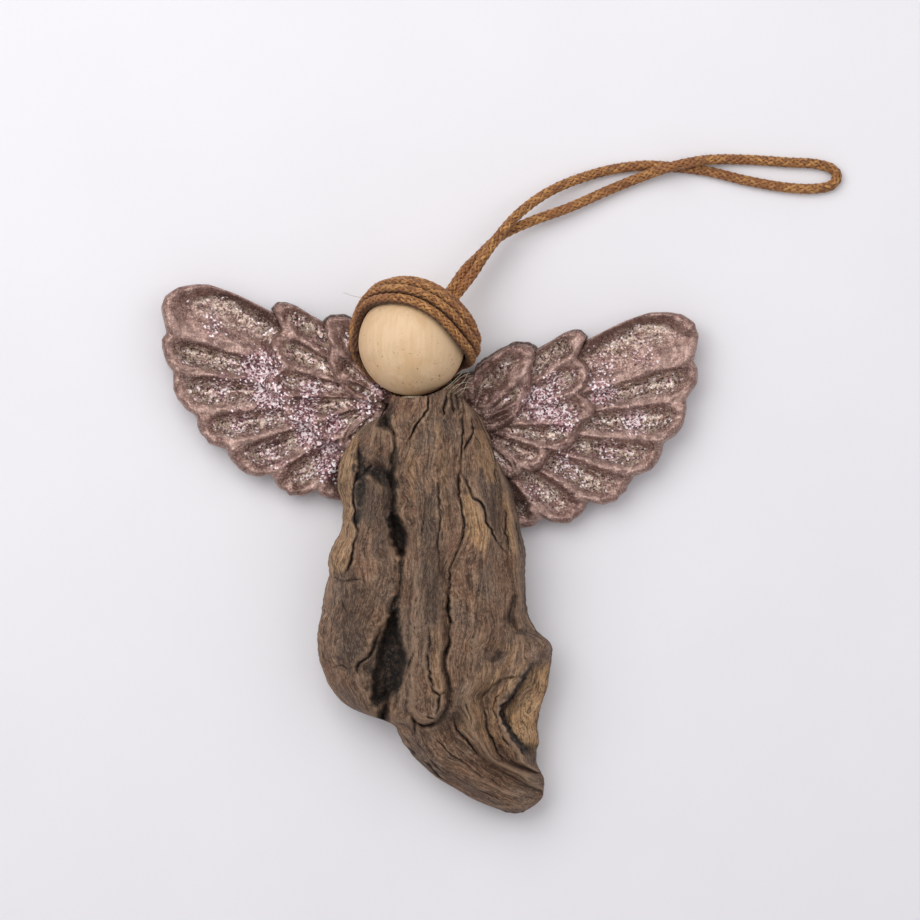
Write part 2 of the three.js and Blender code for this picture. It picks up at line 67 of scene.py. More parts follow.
# The photograph: taken from straight above, with this point of the table in the middle.
CAMERA_PLACE = (5.7 * MM, 15.8 * MM, 800 * MM)
CAMERA_LENS = 164.4
CAMERA_SENSOR = 36

# The table's half width, the room's light, and the lamps as (name, place, size, energy).
TABLE_HALF = 1.5
ROOM_COLOUR = (0.93, 0.92, 0.95, 1.0)
ROOM_STRENGTH = 0.46
SOFTBOXES = (
    ("top_softbox", (-0.16, 0.27, 0.46), 0.45, 1.5),
    ("left_softbox", (-0.4, 0.12, 0.5), 0.5, 0.65),
    ("right_softbox", (0.4, 0.18, 0.5), 0.5, 0.75),
)

# The head and its hair. The crown is where the winding's axis leaves the head.
HEAD_CENTRE = np.array((-3.3, 37.8, 12.5)) * MM
HEAD_RADIUS = 10 * MM
HEAD_PATCH = 5 * MM
HEAD_UNEVEN = 0.006
CROWN = np.array((0.3, 0.63, -0.716)) / np.linalg.norm((0.3, 0.63, -0.716))
HAIR_PITCH = 1.96 * MM
HAIR_HEAP = 1.1 * MM
HAIR_BROW_ANGLE = math.radians(99)
HAIR_SWAY = math.radians(4.6)
HAIR_SIDE_LIFT = math.radians(14)
HAIR_REAR_LIFT = math.radians(17)
HAIR_REAR_PLACE = math.radians(118)
HAIR_REAR_WIDTH = math.radians(22)
HAIR_START = math.radians(-124)
HAIR_END = math.radians(1470)
HAIR_MEAN_ROUND = 0.93
HAIR_LOWEST = -2.6

# The cord: its diameter, and its braid of six strands each way.
CORD_DIAMETER = 2.0 * MM
BRAID_PITCH = 8.6 * MM
BRAID_STRANDS = 6
CORD_STEP = 0.26 * MM
STRAND_SIDES = 6
STRAND_MIDDLE = 0.345 * CORD_DIAMETER
STRAND_LIFT = 0.05 * CORD_DIAMETER
STRAND_HALF_WIDTH = 0.165 * CORD_DIAMETER
STRAND_HALF_HEIGHT = 0.12 * CORD_DIAMETER
# Where a strand turns from deep to high, and from clear to sunk, as shares of the diameter. The deep places
# and the sunk ones get painted shade.
STRAND_DEPTHS = (0.26, 0.5)
SUNK_HEIGHTS = (0.3, -0.02)
STRAND_SHIFT = 7.3
CORD_MARKS = ("height", "sunk", "along", "around", "strand")
# Loose fibres, with their reach in millimetres, and how far the hair reaches from the head's middle.
FIBRE_CLEARANCE = 0.3 * MM
FIBRE_REACH = (0.3, 1.1)
FIBRE_RADIUS = 0.018 * MM
THREAD_STEP = 0.25 * MM
HAIR_REACH = HEAD_RADIUS / MM + CORD_DIAMETER / MM

# The hanging loop's root on the head, and its route over the table.
LOOP_ROOT = np.array((0.594, 0.732, -0.326)) / np.linalg.norm((0.594, 0.732, -0.326))
LOOP_LEAD = 1.6 * MM
LOOP_BEND = (12.5 * MM, 15.5 * MM)
LOOP_ROUTE = np.array((
    (4.0, 47.9, 8.2), (6.7, 51.8, 6.6), (8.8, 53.9, 5.5), (13.45, 58.25, 4.0), (19.35, 61.1, 3.5),
    (26.3, 63.65, 2.6), (34.3, 67.2, 1.9), (41.5, 70.05, 2.2), (46.1, 71.5, 3.4), (52.7, 72.8, 2.0),
    (60.3, 72.9, 1.1), (67.9, 72.4, 1.1), (73.6, 72.05, 1.1), (76.5, 71.1, 1.1), (77.4, 69.7, 1.1),
    (76.3, 68.05, 1.1), (73.0, 67.4, 1.1), (67.9, 67.6, 1.1), (60.3, 68.9, 1.1), (52.7, 70.7, 1.1),
    (46.1, 71.5, 1.1), (40.5, 71.8, 1.1), (32.4, 70.5, 1.6), (23.2, 67.0, 3.4), (17.1, 62.65, 5.6),
    (13.5, 58.7, 6.7), (10.1, 54.0, 7.6), (8.2, 51.0, 7.9), (5.1, 47.0, 8.2),
)) * MM

# A loose fibre of the hair, and threads of glue that were drawn out at the neck, in millimetres.
LONG_FIBRE = ((-12.4, 46.2, 12.3), (-14.2, 46.5, 12.9), (-16.2, 47.2, 12.2))
LONG_FIBRE_RADIUS = 0.03 * MM
GLUE_THREAD_RADIUS = 0.05 * MM
GLUE_THREADS = (
    ((3.2, 28.9, 15.0), (4.8, 30.3, 16.2), (6.4, 31.6, 15.0), (7.6, 32.0, 13.0)),
    ((4.0, 28.4, 15.0), (5.3, 29.5, 16.2), (6.6, 30.9, 15.2), (7.3, 32.6, 13.4)),
    ((4.4, 28.0, 14.6), (5.8, 28.9, 15.8), (7.2, 29.4, 14.6), (8.8, 29.0, 11.6)),
    ((2.4, 28.7, 15.2), (4.0, 30.0, 16.6), (5.2, 31.2, 15.8), (6.7, 32.6, 13.6)),
    ((5.2, 27.6, 14.2), (6.4, 28.8, 15.2), (7.0, 30.4, 14.4), (8.2, 31.4, 11.8)),
    ((3.6, 28.2, 15.2), (4.6, 29.4, 16.6), (6.2, 30.2, 15.8), (8.0, 30.2, 12.6)),
)

# The dabs of glue: their distances from the head's middle, and their radii and heights.
NECK_GLUE_AXIS = np.array((0.02, -1, 0.12)) / np.linalg.norm((0.02, -1, 0.12))
NECK_GLUE_OUT = 10.75 * MM
NECK_GLUE_DROP = 1.8 * MM
NECK_GLUE_SIZE = (3.4 * MM, 1.2 * MM)
LOOP_GLUE_OUT = 11.2 * MM
LOOP_GLUE_SIZE = (2.0 * MM, 2.4 * MM)
WING_GLUE_SHIFT = 0.7 * MM
WING_GLUE_SIZE = (4.0 * MM, 1.1 * MM)

# The wings, in millimetres. Each layer of feathers has a height, its edge as (angle, reach) from the wing's
# root, angles in degrees above the outward line, and the angles of the ridges between its feathers.
WING_TILT = math.radians(3.5)
WING_ROOTS = {-1: (-7.6, 27.6, 1.0), 1: (7.6, 22.4, 1.0)}
WING_TAB = (2.2, -8.5, 6.2)
WING_TAB_THICKNESS = 4.2
WING_ROOT_RADIUS = 2.5
WING_LOW_ANGLE = -88
WING_HIGH_ANGLES = {-1: 86, 1: 112}
WING_LEAST_HEIGHT = 0.7
LEAST_REACH = 0.8
LAYER_STEP = 0.3
FEATHER_LAYERS = (
    (3.4, (
        (36.5, 20), (36, 27.7), (34, 35), (32.1, 40.1), (30, 42.7), (27.6, 45.1), (24.3, 46.6),
        (21.5, 46.3), (18.8, 45), (16.1, 43.9), (14.2, 44.3), (12.4, 44.1), (10.3, 43.3), (6.8, 41.1),
        (4.6, 41), (2.3, 40.7), (-0.4, 40), (-3, 38.7), (-5, 36.8), (-7.9, 36.6), (-10.8, 36.2),
        (-14.2, 35.1), (-17.6, 32.3), (-22.5, 31.9), (-27.9, 30.8), (-31, 29.2), (-33.1, 26.7),
        (-38.3, 26.9), (-44.7, 26.2), (-48.8, 24.6), (-51.7, 22.4), (-57.4, 22.4), (-63.9, 21.6),
        (-69.3, 19.8), (-74.3, 16.6), (-80, 12), (-88, 8),
    ), (36.5, 16.1, 6.8, -5, -17.6, -33.1, -51.7, -80)),
    (4.5, (
        (50, 17.5), (48.8, 18.7), (46.3, 21.6), (44.7, 24.5), (43, 26.2), (40.6, 27.4), (36.9, 27.6),
        (35.2, 26), (32.4, 23.9), (27.8, 24.6), (23.4, 24.5), (19.7, 23.7), (16.5, 21.5), (11.5, 23.1),
        (7.3, 23.7), (3.9, 23.3), (1.1, 21.2), (-2.8, 20.5), (-8, 20.3), (-12.9, 19.3), (-16.1, 17.7),
        (-17.5, 15.9), (-23.7, 16), (-30.8, 15.7), (-36.7, 14.7), (-40.4, 13.3), (-46.8, 13.3),
        (-52.8, 12.6), (-57.4, 11.2), (-64, 8),
    ), (49.5, 32.4, 16.5, 1.1, -17.5, -40.4, -60)),
    (5.3, (
        (112, 8.8), (103, 9.3), (86, 9.5), (84, 10.9), (72.5, 13.6), (62.1, 17.1), (56.3, 18.4),
        (52.1, 18.9), (48.9, 18.6), (45.7, 17.3), (41.8, 15.2), (36.4, 14.3), (32.5, 13.9),
        (24.6, 11.9), (16.3, 10.2), (7.1, 8), (-4.8, 6), (-20, 4),
    ), (86, 41.8, 24.6, -6)),
)
TROUGH_DEPTH = 2.5
TROUGH_WIDTH = 6
TROUGH_LEAN = 0.3
TIP_RIM = (0.8, 5.3)
TIP_ROUNDING = 1.8
TIP_DROP = 0.9
FIRST_FEATHER_WEAR = 0.42
SEAM_WIDTH = 0.7
WALL_SHADE = {-1: 0.85, 1: 0.36}
# A wing's ragged edge, its bumps as (size, seed) and its rim as (share of the height, pull inwards).
WING_RAGGED = 0.35
WING_RAGGED_FROM = 12
WING_BUMPS = ((0.7, 33), (3.2, 35), (1.5, 37))
WING_RIM = ((0.72, -0.12), (0.3, 0.0), (0.0, 0.35))
FLAKE_TILT = 0.35
WING_FAN_COLUMNS = 430
WING_ROOT_COLUMNS = 26
WING_LAYER_ROWS = (46, 46, 50)
# Where glitter is strewn thickest on each wing, as (outward, up, radius, strength).
GLITTER = {
    -1: ((24.6, 5.4, 4.6, 1), (22.4, 0, 4.2, 1), (16.7, -3.4, 3.6, 0.95), (15, 1, 3.2, 0.9),
         (15, -7.3, 3.5, 0.95), (10.7, -5.1, 3, 0.85), (11.5, -9.5, 2.8, 0.85), (11.5, -13, 3.2, 1),
         (4.5, -1.7, 3, 0.8), (2, 2, 2.4, 0.9), (33, 13.5, 4, 0.55), (32, 2, 4, 0.55),
         (22, -11, 5, 0.55), (28, -4, 4, 0.55), (14, 10, 4, 0.4)),
    1: ((13.8, 4, 4.4, 1), (17.6, 1.2, 3.4, 0.9), (15.5, 8.5, 3.5, 0.6), (25, 6.2, 3.6, 0.8),
        (31, 0.5, 3.6, 0.7), (25, 11, 4.4, 0.55), (33, 13, 4.5, 0.5), (18, -7, 4, 0.6),
        (26, -5, 4, 0.5), (12, -12.8, 3, 0.6)),
}

# The driftwood's two edges as (y, x) and its heights as (y, z), in millimetres from neck to foot.
LEFT_EDGE = (
    (30, -6.9), (27.6, -7.3), (24.5, -8.2), (23.3, -10.5), (22, -13.1), (19.2, -15), (16.2, -16.7),
    (13.3, -17.3), (10.7, -17.2), (7.5, -16.5), (4.9, -16.4), (2.2, -16.9), (-0.2, -18.2),
    (-3.4, -19.3), (-5.8, -18.9), (-7.3, -19.5), (-14.5, -20.8), (-18.1, -21.2), (-22, -20.8),
    (-26.1, -19.5), (-29.4, -17.2), (-31.2, -14.6), (-32.5, -11.4), (-33.7, -6.9), (-36.9, -5.4),
    (-38.8, -4.3), (-41.6, -1.7), (-44, 0.8), (-47.4, 6.6), (-49.2, 9.9), (-50.3, 12.9), (-50.9, 15.6),
)
RIGHT_EDGE = (
    (30, 5), (29.1, 5.3), (26.9, 6.6), (24.1, 9.6), (20.1, 11.5), (16.5, 12.2), (13.7, 13.8),
    (10.2, 15.4), (5.9, 16.7), (1.7, 17.4), (-1.5, 18), (-10.9, 18.1), (-14.5, 19), (-17.1, 20.5),
    (-18.2, 22.6), (-19.2, 23.1), (-24.3, 22.7), (-27.5, 22.2), (-31, 20.7), (-33.7, 20.3),
    (-37.8, 20.6), (-41, 19.8), (-42.7, 20.9), (-44.7, 21.8), (-48.1, 21.4), (-50.3, 19.3),
    (-50.9, 16.6),
)
EDGE_HEIGHT = ((30, 13), (20, 10.5), (10, 9.4), (-10, 8), (-30, 7), (-45, 6), (-51, 5))
CROWN_HEIGHT = (
    (30, 16), (24, 18), (15, 19), (5, 18.6), (-5, 18.2), (-15, 17.4), (-25, 16.4), (-33, 14.6),
    (-40, 12.4), (-46, 10.4), (-49.5, 8.6), (-51, 6),
)
NECK_END = 30
FOOT_END = -50.85
BODY_FRONT = 220
BODY_BACK = 44
BODY_ROWS = 350
WING_SEAT = 5.3

# Guide lines of the grain as (x, y) from neck to foot, and the grain's coordinate at each.
GRAIN_GUIDES = (
    ((-8.4, 30), (-8.1, 23), (-6.9, 20.9), (-6.4, 18), (-6.7, 15.3), (-7.5, 12.9), (-6.6, 9.9),
     (-6.9, 5.4), (-6.1, 2.1), (-5.1, -3), (-5.7, -9), (-6.6, -11.4), (-7.5, -17.2), (-7.2, -21.7),
     (-7.8, -28.9), (-8.7, -32.1), (-9, -33.7), (-9, -50.8)),
    ((6.1, 30), (6.1, 25.7), (6.0, 16.8), (5.8, 14.1), (6.3, 4.5), (6.4, 2.1), (4.6, -2.1), (3.9, -5.1),
     (3.4, -9), (3.9, -15), (3.6, -18.1), (2.9, -22), (3.9, -27.7), (3.6, -30.1), (4.5, -32.1),
     (5.1, -34.8), (6.9, -36.9), (9.3, -39.9), (12.5, -42.3), (18, -45.4), (25, -48), (40, -50.8)),
    ((6.3, 30), (9, 24), (12, 17.4), (13.4, 10), (14.3, 2), (14.6, -5), (15.8, -9.9), (15, -13.5),
     (15, -16), (14.3, -20), (12.5, -25.6), (10.8, -27.4), (9.9, -28.3), (10.5, -32.1), (11.4, -36),
     (12.9, -39), (14.2, -40.8), (20, -43), (30, -46), (60, -50.8)),
)
GRAIN_STARTS = (0, 10, 20, 29, 36)
LOBE_RISE = 2.6
LOBE_DIP = 1.4
RIDGE = ((0, -4, 2.6), (-0.3, -12, 3.2), (-0.6, -22, 3), (-0.4, -29.8, 3.6))
RIDGE_RISE = 1.8
RIDGE_FADE = (3, -17)
# How high the folds, ribs, fine grain and pits of the wood stand.
FOLD_RISE = 0.9
RIB_RISE = 0.55
RIB_FLOW = 0.5
FINE_RISE = 0.26
QUIVER_RISE = 0.16
PIT_RISE = 0.14
# A knot along its middle as (x, y, radius), with its depth and how dark it is.
KNOT_DEPTH = 0.5
KNOT_STAIN = 0.75
KNOT = ((11.6, -21.6, 0.5), (13, -20.7, 1.0), (14.2, -20.2, 0.4))

# Hollows along their middles as (x, y, radius), with their depth and how charred they are.
HOLLOWS = (
    (((-8.3, 25.5, 0.9), (-8.1, 22.6, 0.8), (-6.9, 20.6, 0.35)), 3.0, 0.9),
    (((-6.9, 20.6, 0.3), (-6.4, 18, 0.35), (-6.8, 15, 0.6), (-7.3, 12.6, 0.8), (-6.7, 9.6, 0.6),
      (-6.6, 6, 0.7)), 2.4, 0.8),
    (((-6.5, 5, 0.8), (-5.9, 1.8, 1.8), (-5.4, -1.6, 1.0)), 4.6, 1.0),
    (((-5.3, -1.8, 0.6), (-5.2, -5, 0.3), (-5.7, -9, 0.25), (-6.5, -11.6, 0.45)), 2.0, 0.9),
    (((-6.4, -12.9, 0.7), (-7.2, -16.8, 1.9), (-6.9, -21.4, 2.8), (-7.9, -25.2, 2.9),
      (-9.4, -28.4, 1.7)), 4.4, 0.97),
    (((-9.2, -16.6, 0.6), (-10.2, -20, 1.0), (-11.3, -23.4, 1.3), (-10.9, -26.4, 1.6)), 1.3, 0.45),
    (((-7.9, -28.6, 0.6), (-8.3, -31, 0.7), (-8.8, -33.4, 0.8)), 4.0, 0.8),
    (((-13.2, 16.6, 0.7), (-12, 14.9, 1.5), (-9.6, 13.6, 1.8), (-7, 11.4, 1.3)), 1.5, 0.92),
    (((-13.3, 14, 0.6), (-12.9, 11.4, 1.2), (-12.9, 8, 0.7), (-13.2, 5, 0.3)), 0.9, 0.9),
    (((15.9, -9.6, 0.5), (15, -13.4, 0.7), (16.4, -15.9, 0.7), (19.6, -17, 0.5)), 1.6, 0.35),
    (((-5.2, -38.2, 0.4), (-1.8, -41.6, 0.8), (2.4, -44.8, 0.4)), 1.0, 0.0),
)

# Cracks along their routes, with their half width and depth.
CRACKS = (
    (((-12.9, 19.7), (-13.2, 17.4), (-12.9, 13.5), (-14.1, 12), (-14.3, 8.1), (-13.5, 4.5),
      (-13.5, 2.1), (-14.1, -0.9), (-15.1, -4.2), (-16, -5.7)), 0.28, 1.2),
    (((-19.2, -6.3), (-15.9, -6.6), (-12.6, -6.4), (-12.1, -7.2)), 0.26, 0.5),
    (((-14.1, 12), (-12.4, 13), (-10.8, 15.4)), 0.35, 0.8),
    (((0.1, 28.3), (-0.4, 25.8), (-1.2, 24.3), (-2.6, 22.2), (-3.4, 20.4), (-4.4, 17.9)), 0.21, 0.9),
    (((3, 28), (2.8, 23.9)), 0.24, 0.9),
    (((4.2, 28.2), (4.5, 24.6)), 0.22, 0.8),
    (((5.1, 28.1), (5.5, 24.4)), 0.24, 0.9),
    (((6.1, 25.7), (6.3, 21.8), (6, 16.8), (5.8, 14.1), (7.5, 10.2), (8.1, 8.7), (9.3, 8.1),
      (10.2, 7.2), (10.8, 4.2), (12, 1.2), (13.5, -0.9), (14.2, -2.1)), 0.21, 0.9),
    (((5.8, 14.1), (5.4, 11.7), (6, 7), (6.3, 4.5), (6.4, 2.1), (5.7, -0.3), (4.6, -2.1), (3.9, -5.1),
      (3.4, -9), (3.6, -12.5)), 0.18, 0.8),
    (((3.4, -9), (3.6, -12.5), (4, -14.5), (3.6, -18.1), (3, -21.1), (2.5, -23.5)), 0.36, 1.5),
    (((2.6, -22.6), (3.3, -25), (3.9, -27.7), (3.6, -30.1)), 0.42, 1.7),
    (((1.6, 12), (1.9, 6), (1.4, 0), (2.1, -6)), 0.16, 0.5),
    (((-1.2, 16), (-0.6, 8), (-1.5, 1)), 0.16, 0.5),
    (((-2.4, -8), (-2.9, -13), (-2.4, -18)), 0.1, 0.25),
    (((8.6, -6), (8.9, -12), (8, -18), (7.4, -23)), 0.1, 0.25),
    (((-16.4, -10), (-15.2, -13), (-16, -16)), 0.18, 0.5),
    (((-18.6, -23.4), (-16.6, -22.6), (-14.8, -23.6)), 0.18, 0.5),
    (((14.8, -26.6), (12.6, -28.6), (12, -31), (13, -34.6), (15.4, -38.2)), 0.2, 0.7),
    (((0.6, -36), (4, -39.2), (8.4, -42.4), (13, -45.4)), 0.16, 0.4),
    (((4, -43), (9, -46), (14, -48.2)), 0.16, 0.4),
    (((8.1, 23.9), (8.1, 20.9), (7.2, 18.9), (6.2, 17.2)), 0.26, 0.8),
    (((8.1, 20.9), (9.3, 18.9), (9.4, 17.4)), 0.22, 0.6),
    (((12, 17.4), (12.4, 14), (12.1, 11)), 0.26, 0.6),
    (((14.1, 7.2), (14.4, 2.1), (14.9, -1.5)), 0.26, 0.7),
    (((16.4, 5.1), (16.8, 0), (17, -4)), 0.26, 0.7),
    (((2.4, 4), (2.2, 0), (1.9, -3.2)), 0.16, 0.3),
    (((0.1, -15.4), (-0.2, -18.7), (-0.3, -22.3), (0, -24.7), (0.6, -26.8), (1.8, -28), (1.9, -30.4),
      (0.9, -32.4)), 0.22, 0.9),
    (((1.8, -28), (2.7, -27.4)), 0.2, 0.7),
    (((0.9, -32.4), (-0.4, -31.9)), 0.18, 0.6),
    (((-3.3, -31.5), (-2.7, -33.6), (-2.7, -35.7)), 0.24, 0.9),
    (((-2.7, -33), (-1.5, -34), (0.3, -33.5), (2.4, -32.3), (3.6, -29.8)), 0.36, 1.3),
    (((-2.7, -19.9), (-3.6, -21.7), (-4.5, -23.6)), 0.3, 0.8),
    (((-7.2, -13.9), (-9.3, -15.7), (-9.9, -18.1), (-11.1, -20.2), (-12.9, -22.3), (-13.3, -23.2),
      (-13, -24.7)), 0.34, 1.1),
    (((17.3, -24.4), (13.5, -25.6), (10.8, -27.4), (9.9, -28.3), (10, -29.6)), 0.26, 0.7),
    (((10, -29.6), (10.5, -32.1), (11.4, -36), (12.9, -39), (14.2, -40.8)), 0.2, 0.8),
    (((6.6, -27), (6.9, -29.5), (7.8, -32), (8.3, -34)), 0.14, 0.4),
    (((4.5, -32.1), (5.1, -34.8), (6.9, -36.9), (9.3, -39.9)), 0.18, 0.7),
    (((14.4, -34.5), (16.2, -38), (18.4, -40.4)), 0.24, 0.6),
    (((12.9, -41.2), (16.5, -43.4), (20, -45.6)), 0.22, 0.4),
    (((-4.2, -38.4), (-2.7, -39.9)), 0.3, 1.0),
    (((-1.2, -40.5), (1.8, -43.5), (3.4, -44.6)), 0.32, 1.1),
    (((-2.9, -36.8), (0.6, -41), (3, -43.2)), 0.22, 0.5),
)

# Pale worn patches and darker stains, as (x, y, radius) along their middles, with their strength. The darker
# marks under the knob and along the notch's lip are painted shade, not stains.
PALE_PATCHES = (
    (((7.3, 8.2, 1.0), (8.3, 4.5, 2.2), (9.4, 1.2, 2.3), (9.6, -0.6, 1.2)), 0.8),
    (((14.6, 9, 0.6), (15.2, 4, 0.9), (15.6, -1, 0.7)), 0.55),
    (((11.5, -18.3, 0.6), (15, -19.5, 1.1), (14.6, -22.5, 0.9)), 0.35),
    (((1.4, 22, 0.8), (2.2, 14, 1.0), (2.6, 8, 0.7)), 0.3),
    (((9.6, 21, 0.8), (10.6, 16.5, 1.6), (11.4, 12.5, 1.0)), 0.55),
    (((1, -16, 0.8), (1.5, -21, 1.2), (1.2, -27, 1.6)), 0.3),
    (((16.5, -18.6, 0.4), (14.8, -22, 0.9), (12.6, -25, 0.8), (10.4, -27.2, 0.6), (9.3, -30, 0.7),
      (9.8, -33.5, 0.6), (11.4, -37.5, 0.4)), 0.6),
    (((17.8, -21.8, 0.3), (15.4, -25.6, 0.6), (12.4, -28.8, 0.6), (11.8, -31.5, 0.6),
      (12.8, -35.5, 0.6), (15.2, -39.4, 0.4)), 0.55),
    (((6.2, -31, 0.4), (7, -34, 0.6), (9.6, -38.4, 0.4)), 0.35),
    (((10.5, -23, 1.5), (9.4, -29, 3.2), (11, -35, 2.6)), 0.35),
    (((-3.4, 20, 0.4), (-3, 14, 0.7), (-3.4, 9, 0.4)), 0.3),
)
STAINS_AND_SHADE = (
    (((-12.6, 13.4, 1.4), (-11, 10, 2.8), (-9.8, 5, 2.6), (-8.6, -1, 1.6)), 0.62),
    (((-12.4, 17.5, 0.8), (-9.6, 15.4, 1.6), (-8.2, 12.4, 1.9), (-8.2, 7, 1.0)), 0.82),
    (((-4.6, 3.5, 1.0), (-4, 0, 1.3)), 0.6),
    (((11.6, 9.6, 0.8), (12.6, 5, 1.1), (13.6, 0.6, 0.7)), 0.6),
    (((5, 27.5, 1.2), (4.6, 25, 1.0)), 0.5),
    (((-10.5, -22, 1.4), (-11, -27, 1.8)), 0.6),
    # Painted shade under the knob.
    (((3, -31.5, 1.0), (0, -35, 1.2), (-3, -34.5, 1.0)), 0.5),
    (((15.6, -11, 0.8), (15.2, -14, 0.9)), 0.6),
    # Painted shade along the notch's lip.
    (((19.6, -22.4, 0.7), (17.2, -25, 0.6), (14.4, -28.8, 0.5)), 0.8),
    (((13.4, -24.6, 0.2), (11, -27.8, 0.2), (10.4, -30.5, 0.2), (11.4, -35.6, 0.2)), 0.55),
    (((-16, -4, 1.0), (-13.5, -9, 3.2), (-14, -15, 3.4), (-14.6, -21, 2.6)), 0.66),
    (((0.2, 7, 1.2), (0, -3, 2.6), (0.4, -13, 1.6)), 0.7),
    (((7, -27, 0.3), (5.6, -30, 0.8), (6, -33, 0.5)), 0.4),
    (((16.8, -37.2, 0.8), (19.6, -39.4, 1.3)), 0.9),
    # Painted shade inside the notch, under its lip.
    (((18.8, -24.8, 1.0), (17.8, -27, 1.7), (16.4, -29.4, 1.6), (15, -31.6, 0.8)), 0.6),
)

# The notch's lip as (x, y), where the notch fades out along y, its depth and its slope.
NOTCH_LIP = (
    (19.6, -21), (17.4, -24.7), (15.3, -28.3), (13.2, -30.4), (13, -32.1), (14.4, -34.5), (16.2, -37.2),
    (19.2, -40.4),
)
NOTCH_LOW = (-40.6, -38.5)
NOTCH_HIGH = (-21.4, -24.5)
NOTCH_DEPTH = 4.6
NOTCH_SLOPE = 0.35

# The edge of the pale strip at the left as (x, y), and how high and pale the strip is.
LEFT_STRIP = (
    (-12.9, 21.5), (-13.2, 17.4), (-12.9, 13.5), (-14.1, 12), (-14.3, 8.1), (-13.5, 4.5), (-13.5, 2.1),
    (-14.1, -0.9), (-15.1, -4.2), (-16, -5.7),
)
STRIP_RISE = 0.5
STRIP_PALE = 0.62

# The crack mark away from cracks, and how much of each mark the wood's back keeps.
NO_CRACK = 6.0
BACK_MARK = 0.15
BACK_MARKS = {"grain": 1, "crack": 6}


# Number helpers.

def lattice(i, j, seed):
    """A fixed number from 0 to 1 for each corner of a square lattice."""
    mixed = np.sin(i * 127.1 + j * 311.7 + seed * 74.7) * 43758.5453
    return mixed - np.floor(mixed)


def noise(x, y, seed):
    """Smooth noise from 0 to 1 in the plane, one bump to each unit."""
    i, j = np.floor(x), np.floor(y)
    u, v = x - i, y - j
    u, v = u * u * (3 - 2 * u), v * v * (3 - 2 * v)
    low = lattice(i, j, seed) * (1 - u) + lattice(i + 1, j, seed) * u
    high = lattice(i, j + 1, seed) * (1 - u) + lattice(i + 1, j + 1, seed) * u
    return low * (1 - v) + high * v


def ripple(x, y, wide, tall, shift, seed):
    """Smooth noise from -0.5 to 0.5, with bumps of a given width and height."""
    return noise(x / wide + shift, y / tall + shift, seed) - 0.5


def smoothstep(value, low, high):
    """0 below low, 1 above high and smooth between."""
    share = np.clip((value - low) / (high - low), 0, 1)
    return share * share * (3 - 2 * share)


def unit(vectors):
    """Vectors at length 1."""
    return vectors / np.linalg.norm(vectors, axis=-1, keepdims=True)


def along_table(table, places):
    """The values of a falling table of (place, value), straight between its points."""
    keys, values = np.array(table, float).T
    return np.interp(places, keys[::-1], values[::-1])


def rounded_table(table, places, reach):
    """The values of a falling table with its corners rounded over a reach to either side."""
    shares = (-1, -0.6, -0.3, 0, 0.3, 0.6, 1)
    return sum(along_table(table, places + share * reach) for share in shares) / len(shares)


def smooth_route(points, step):
    """A centripetal curve through the points, as points a step apart, and its length."""
    ends = np.vstack((2 * points[0] - points[1], points, 2 * points[-1] - points[-2]))
    dense = []
    for stretch in zip(ends, ends[1:], ends[2:], ends[3:]):
        before, start, end, after = stretch
        knots = np.cumsum([0] + [np.linalg.norm(b - a) ** 0.5 for a, b in zip(stretch, stretch[1:])])
        place = np.linspace(knots[1], knots[2], ROUTE_FINENESS, endpoint=False)[:, None]

        def between(a, b, low, high):
            return (a * (high - place) + b * (place - low)) / (high - low)

        one = between(before, start, knots[0], knots[1])
        two = between(start, end, knots[1], knots[2])
        three = between(end, after, knots[2], knots[3])
        four = between(one, two, knots[0], knots[2])
        five = between(two, three, knots[1], knots[3])
        dense.append(between(four, five, knots[1], knots[2]))
    dense = np.vstack(dense + [points[-1:]])
    length = np.r_[0, np.cumsum(np.linalg.norm(np.diff(dense, axis=0), axis=1))]
    even = np.linspace(0, length[-1], max(2, round(length[-1] / step)) + 1)
    return np.stack([np.interp(even, length, dense[:, axis]) for axis in range(3)], axis=1), length[-1]


def beside(x, y, start, end):
    """How far places in plan lie from a straight stretch, and the share of it that they have passed."""
    ax, ay = start[:2]
    bx, by = end[:2]
    share = ((x - ax) * (bx - ax) + (y - ay) * (by - ay)) / ((bx - ax) ** 2 + (by - ay) ** 2)
    share = np.clip(share, 0, 1)
    return np.hypot(x - ax - share * (bx - ax), y - ay - share * (by - ay)), share


def route_place(route, x, y):
    """How far places in plan lie from a route, and how far along it from the nearer of its ends."""
    least = np.full(x.shape, np.inf)
    place = np.zeros(x.shape)
    before = 0
    for start, end in zip(route, route[1:]):
        gap, share = beside(x, y, start, end)
        stretch = math.dist(start, end)
        place = np.where(gap < least, before + share * stretch, place)
        least = np.minimum(least, gap)
        before += stretch
    return least, np.minimum(place, before - place)


def hollow_inside(hollow, x, y):
    """How far places lie inside a hollow, given as (x, y, radius) along its middle."""
    most = np.full(x.shape, -np.inf)
    for start, end in zip(hollow, hollow[1:]):
        gap, share = beside(x, y, start, end)
        most = np.maximum(most, start[2] + share * (end[2] - start[2]) - gap)
    return most


# Mesh helpers.

def grid_corners(form, across, along):
    """Add a grid to a bmesh: its corners, and each corner's shares across and along."""
    corners = bmesh.ops.create_grid(form, x_segments=across, y_segments=along, size=0.5)["verts"]
    shares = np.array([(corner.co.x + 0.5, corner.co.y + 0.5) for corner in corners])
    return corners, shares[:, 0], shares[:, 1]


def place_corners(corners, places):
    """Move corners of a bmesh to places."""
    for corner, place in zip(corners, places):
        corner.co = place


def thin_tube(form, path, side, over, radius, sides):
    """Add a thin tube along a path, from the two directions across it, and give its corners."""
    corners, around, along = grid_corners(form, sides, len(path) - 1)
    step = np.rint(along * (len(path) - 1)).astype(int)
    bend = 2 * np.pi * around
    ring = np.cos(bend)[:, None] * side[step] + np.sin(bend)[:, None] * over[step]
    place_corners(corners, path[step] + radius * ring)
    return corners


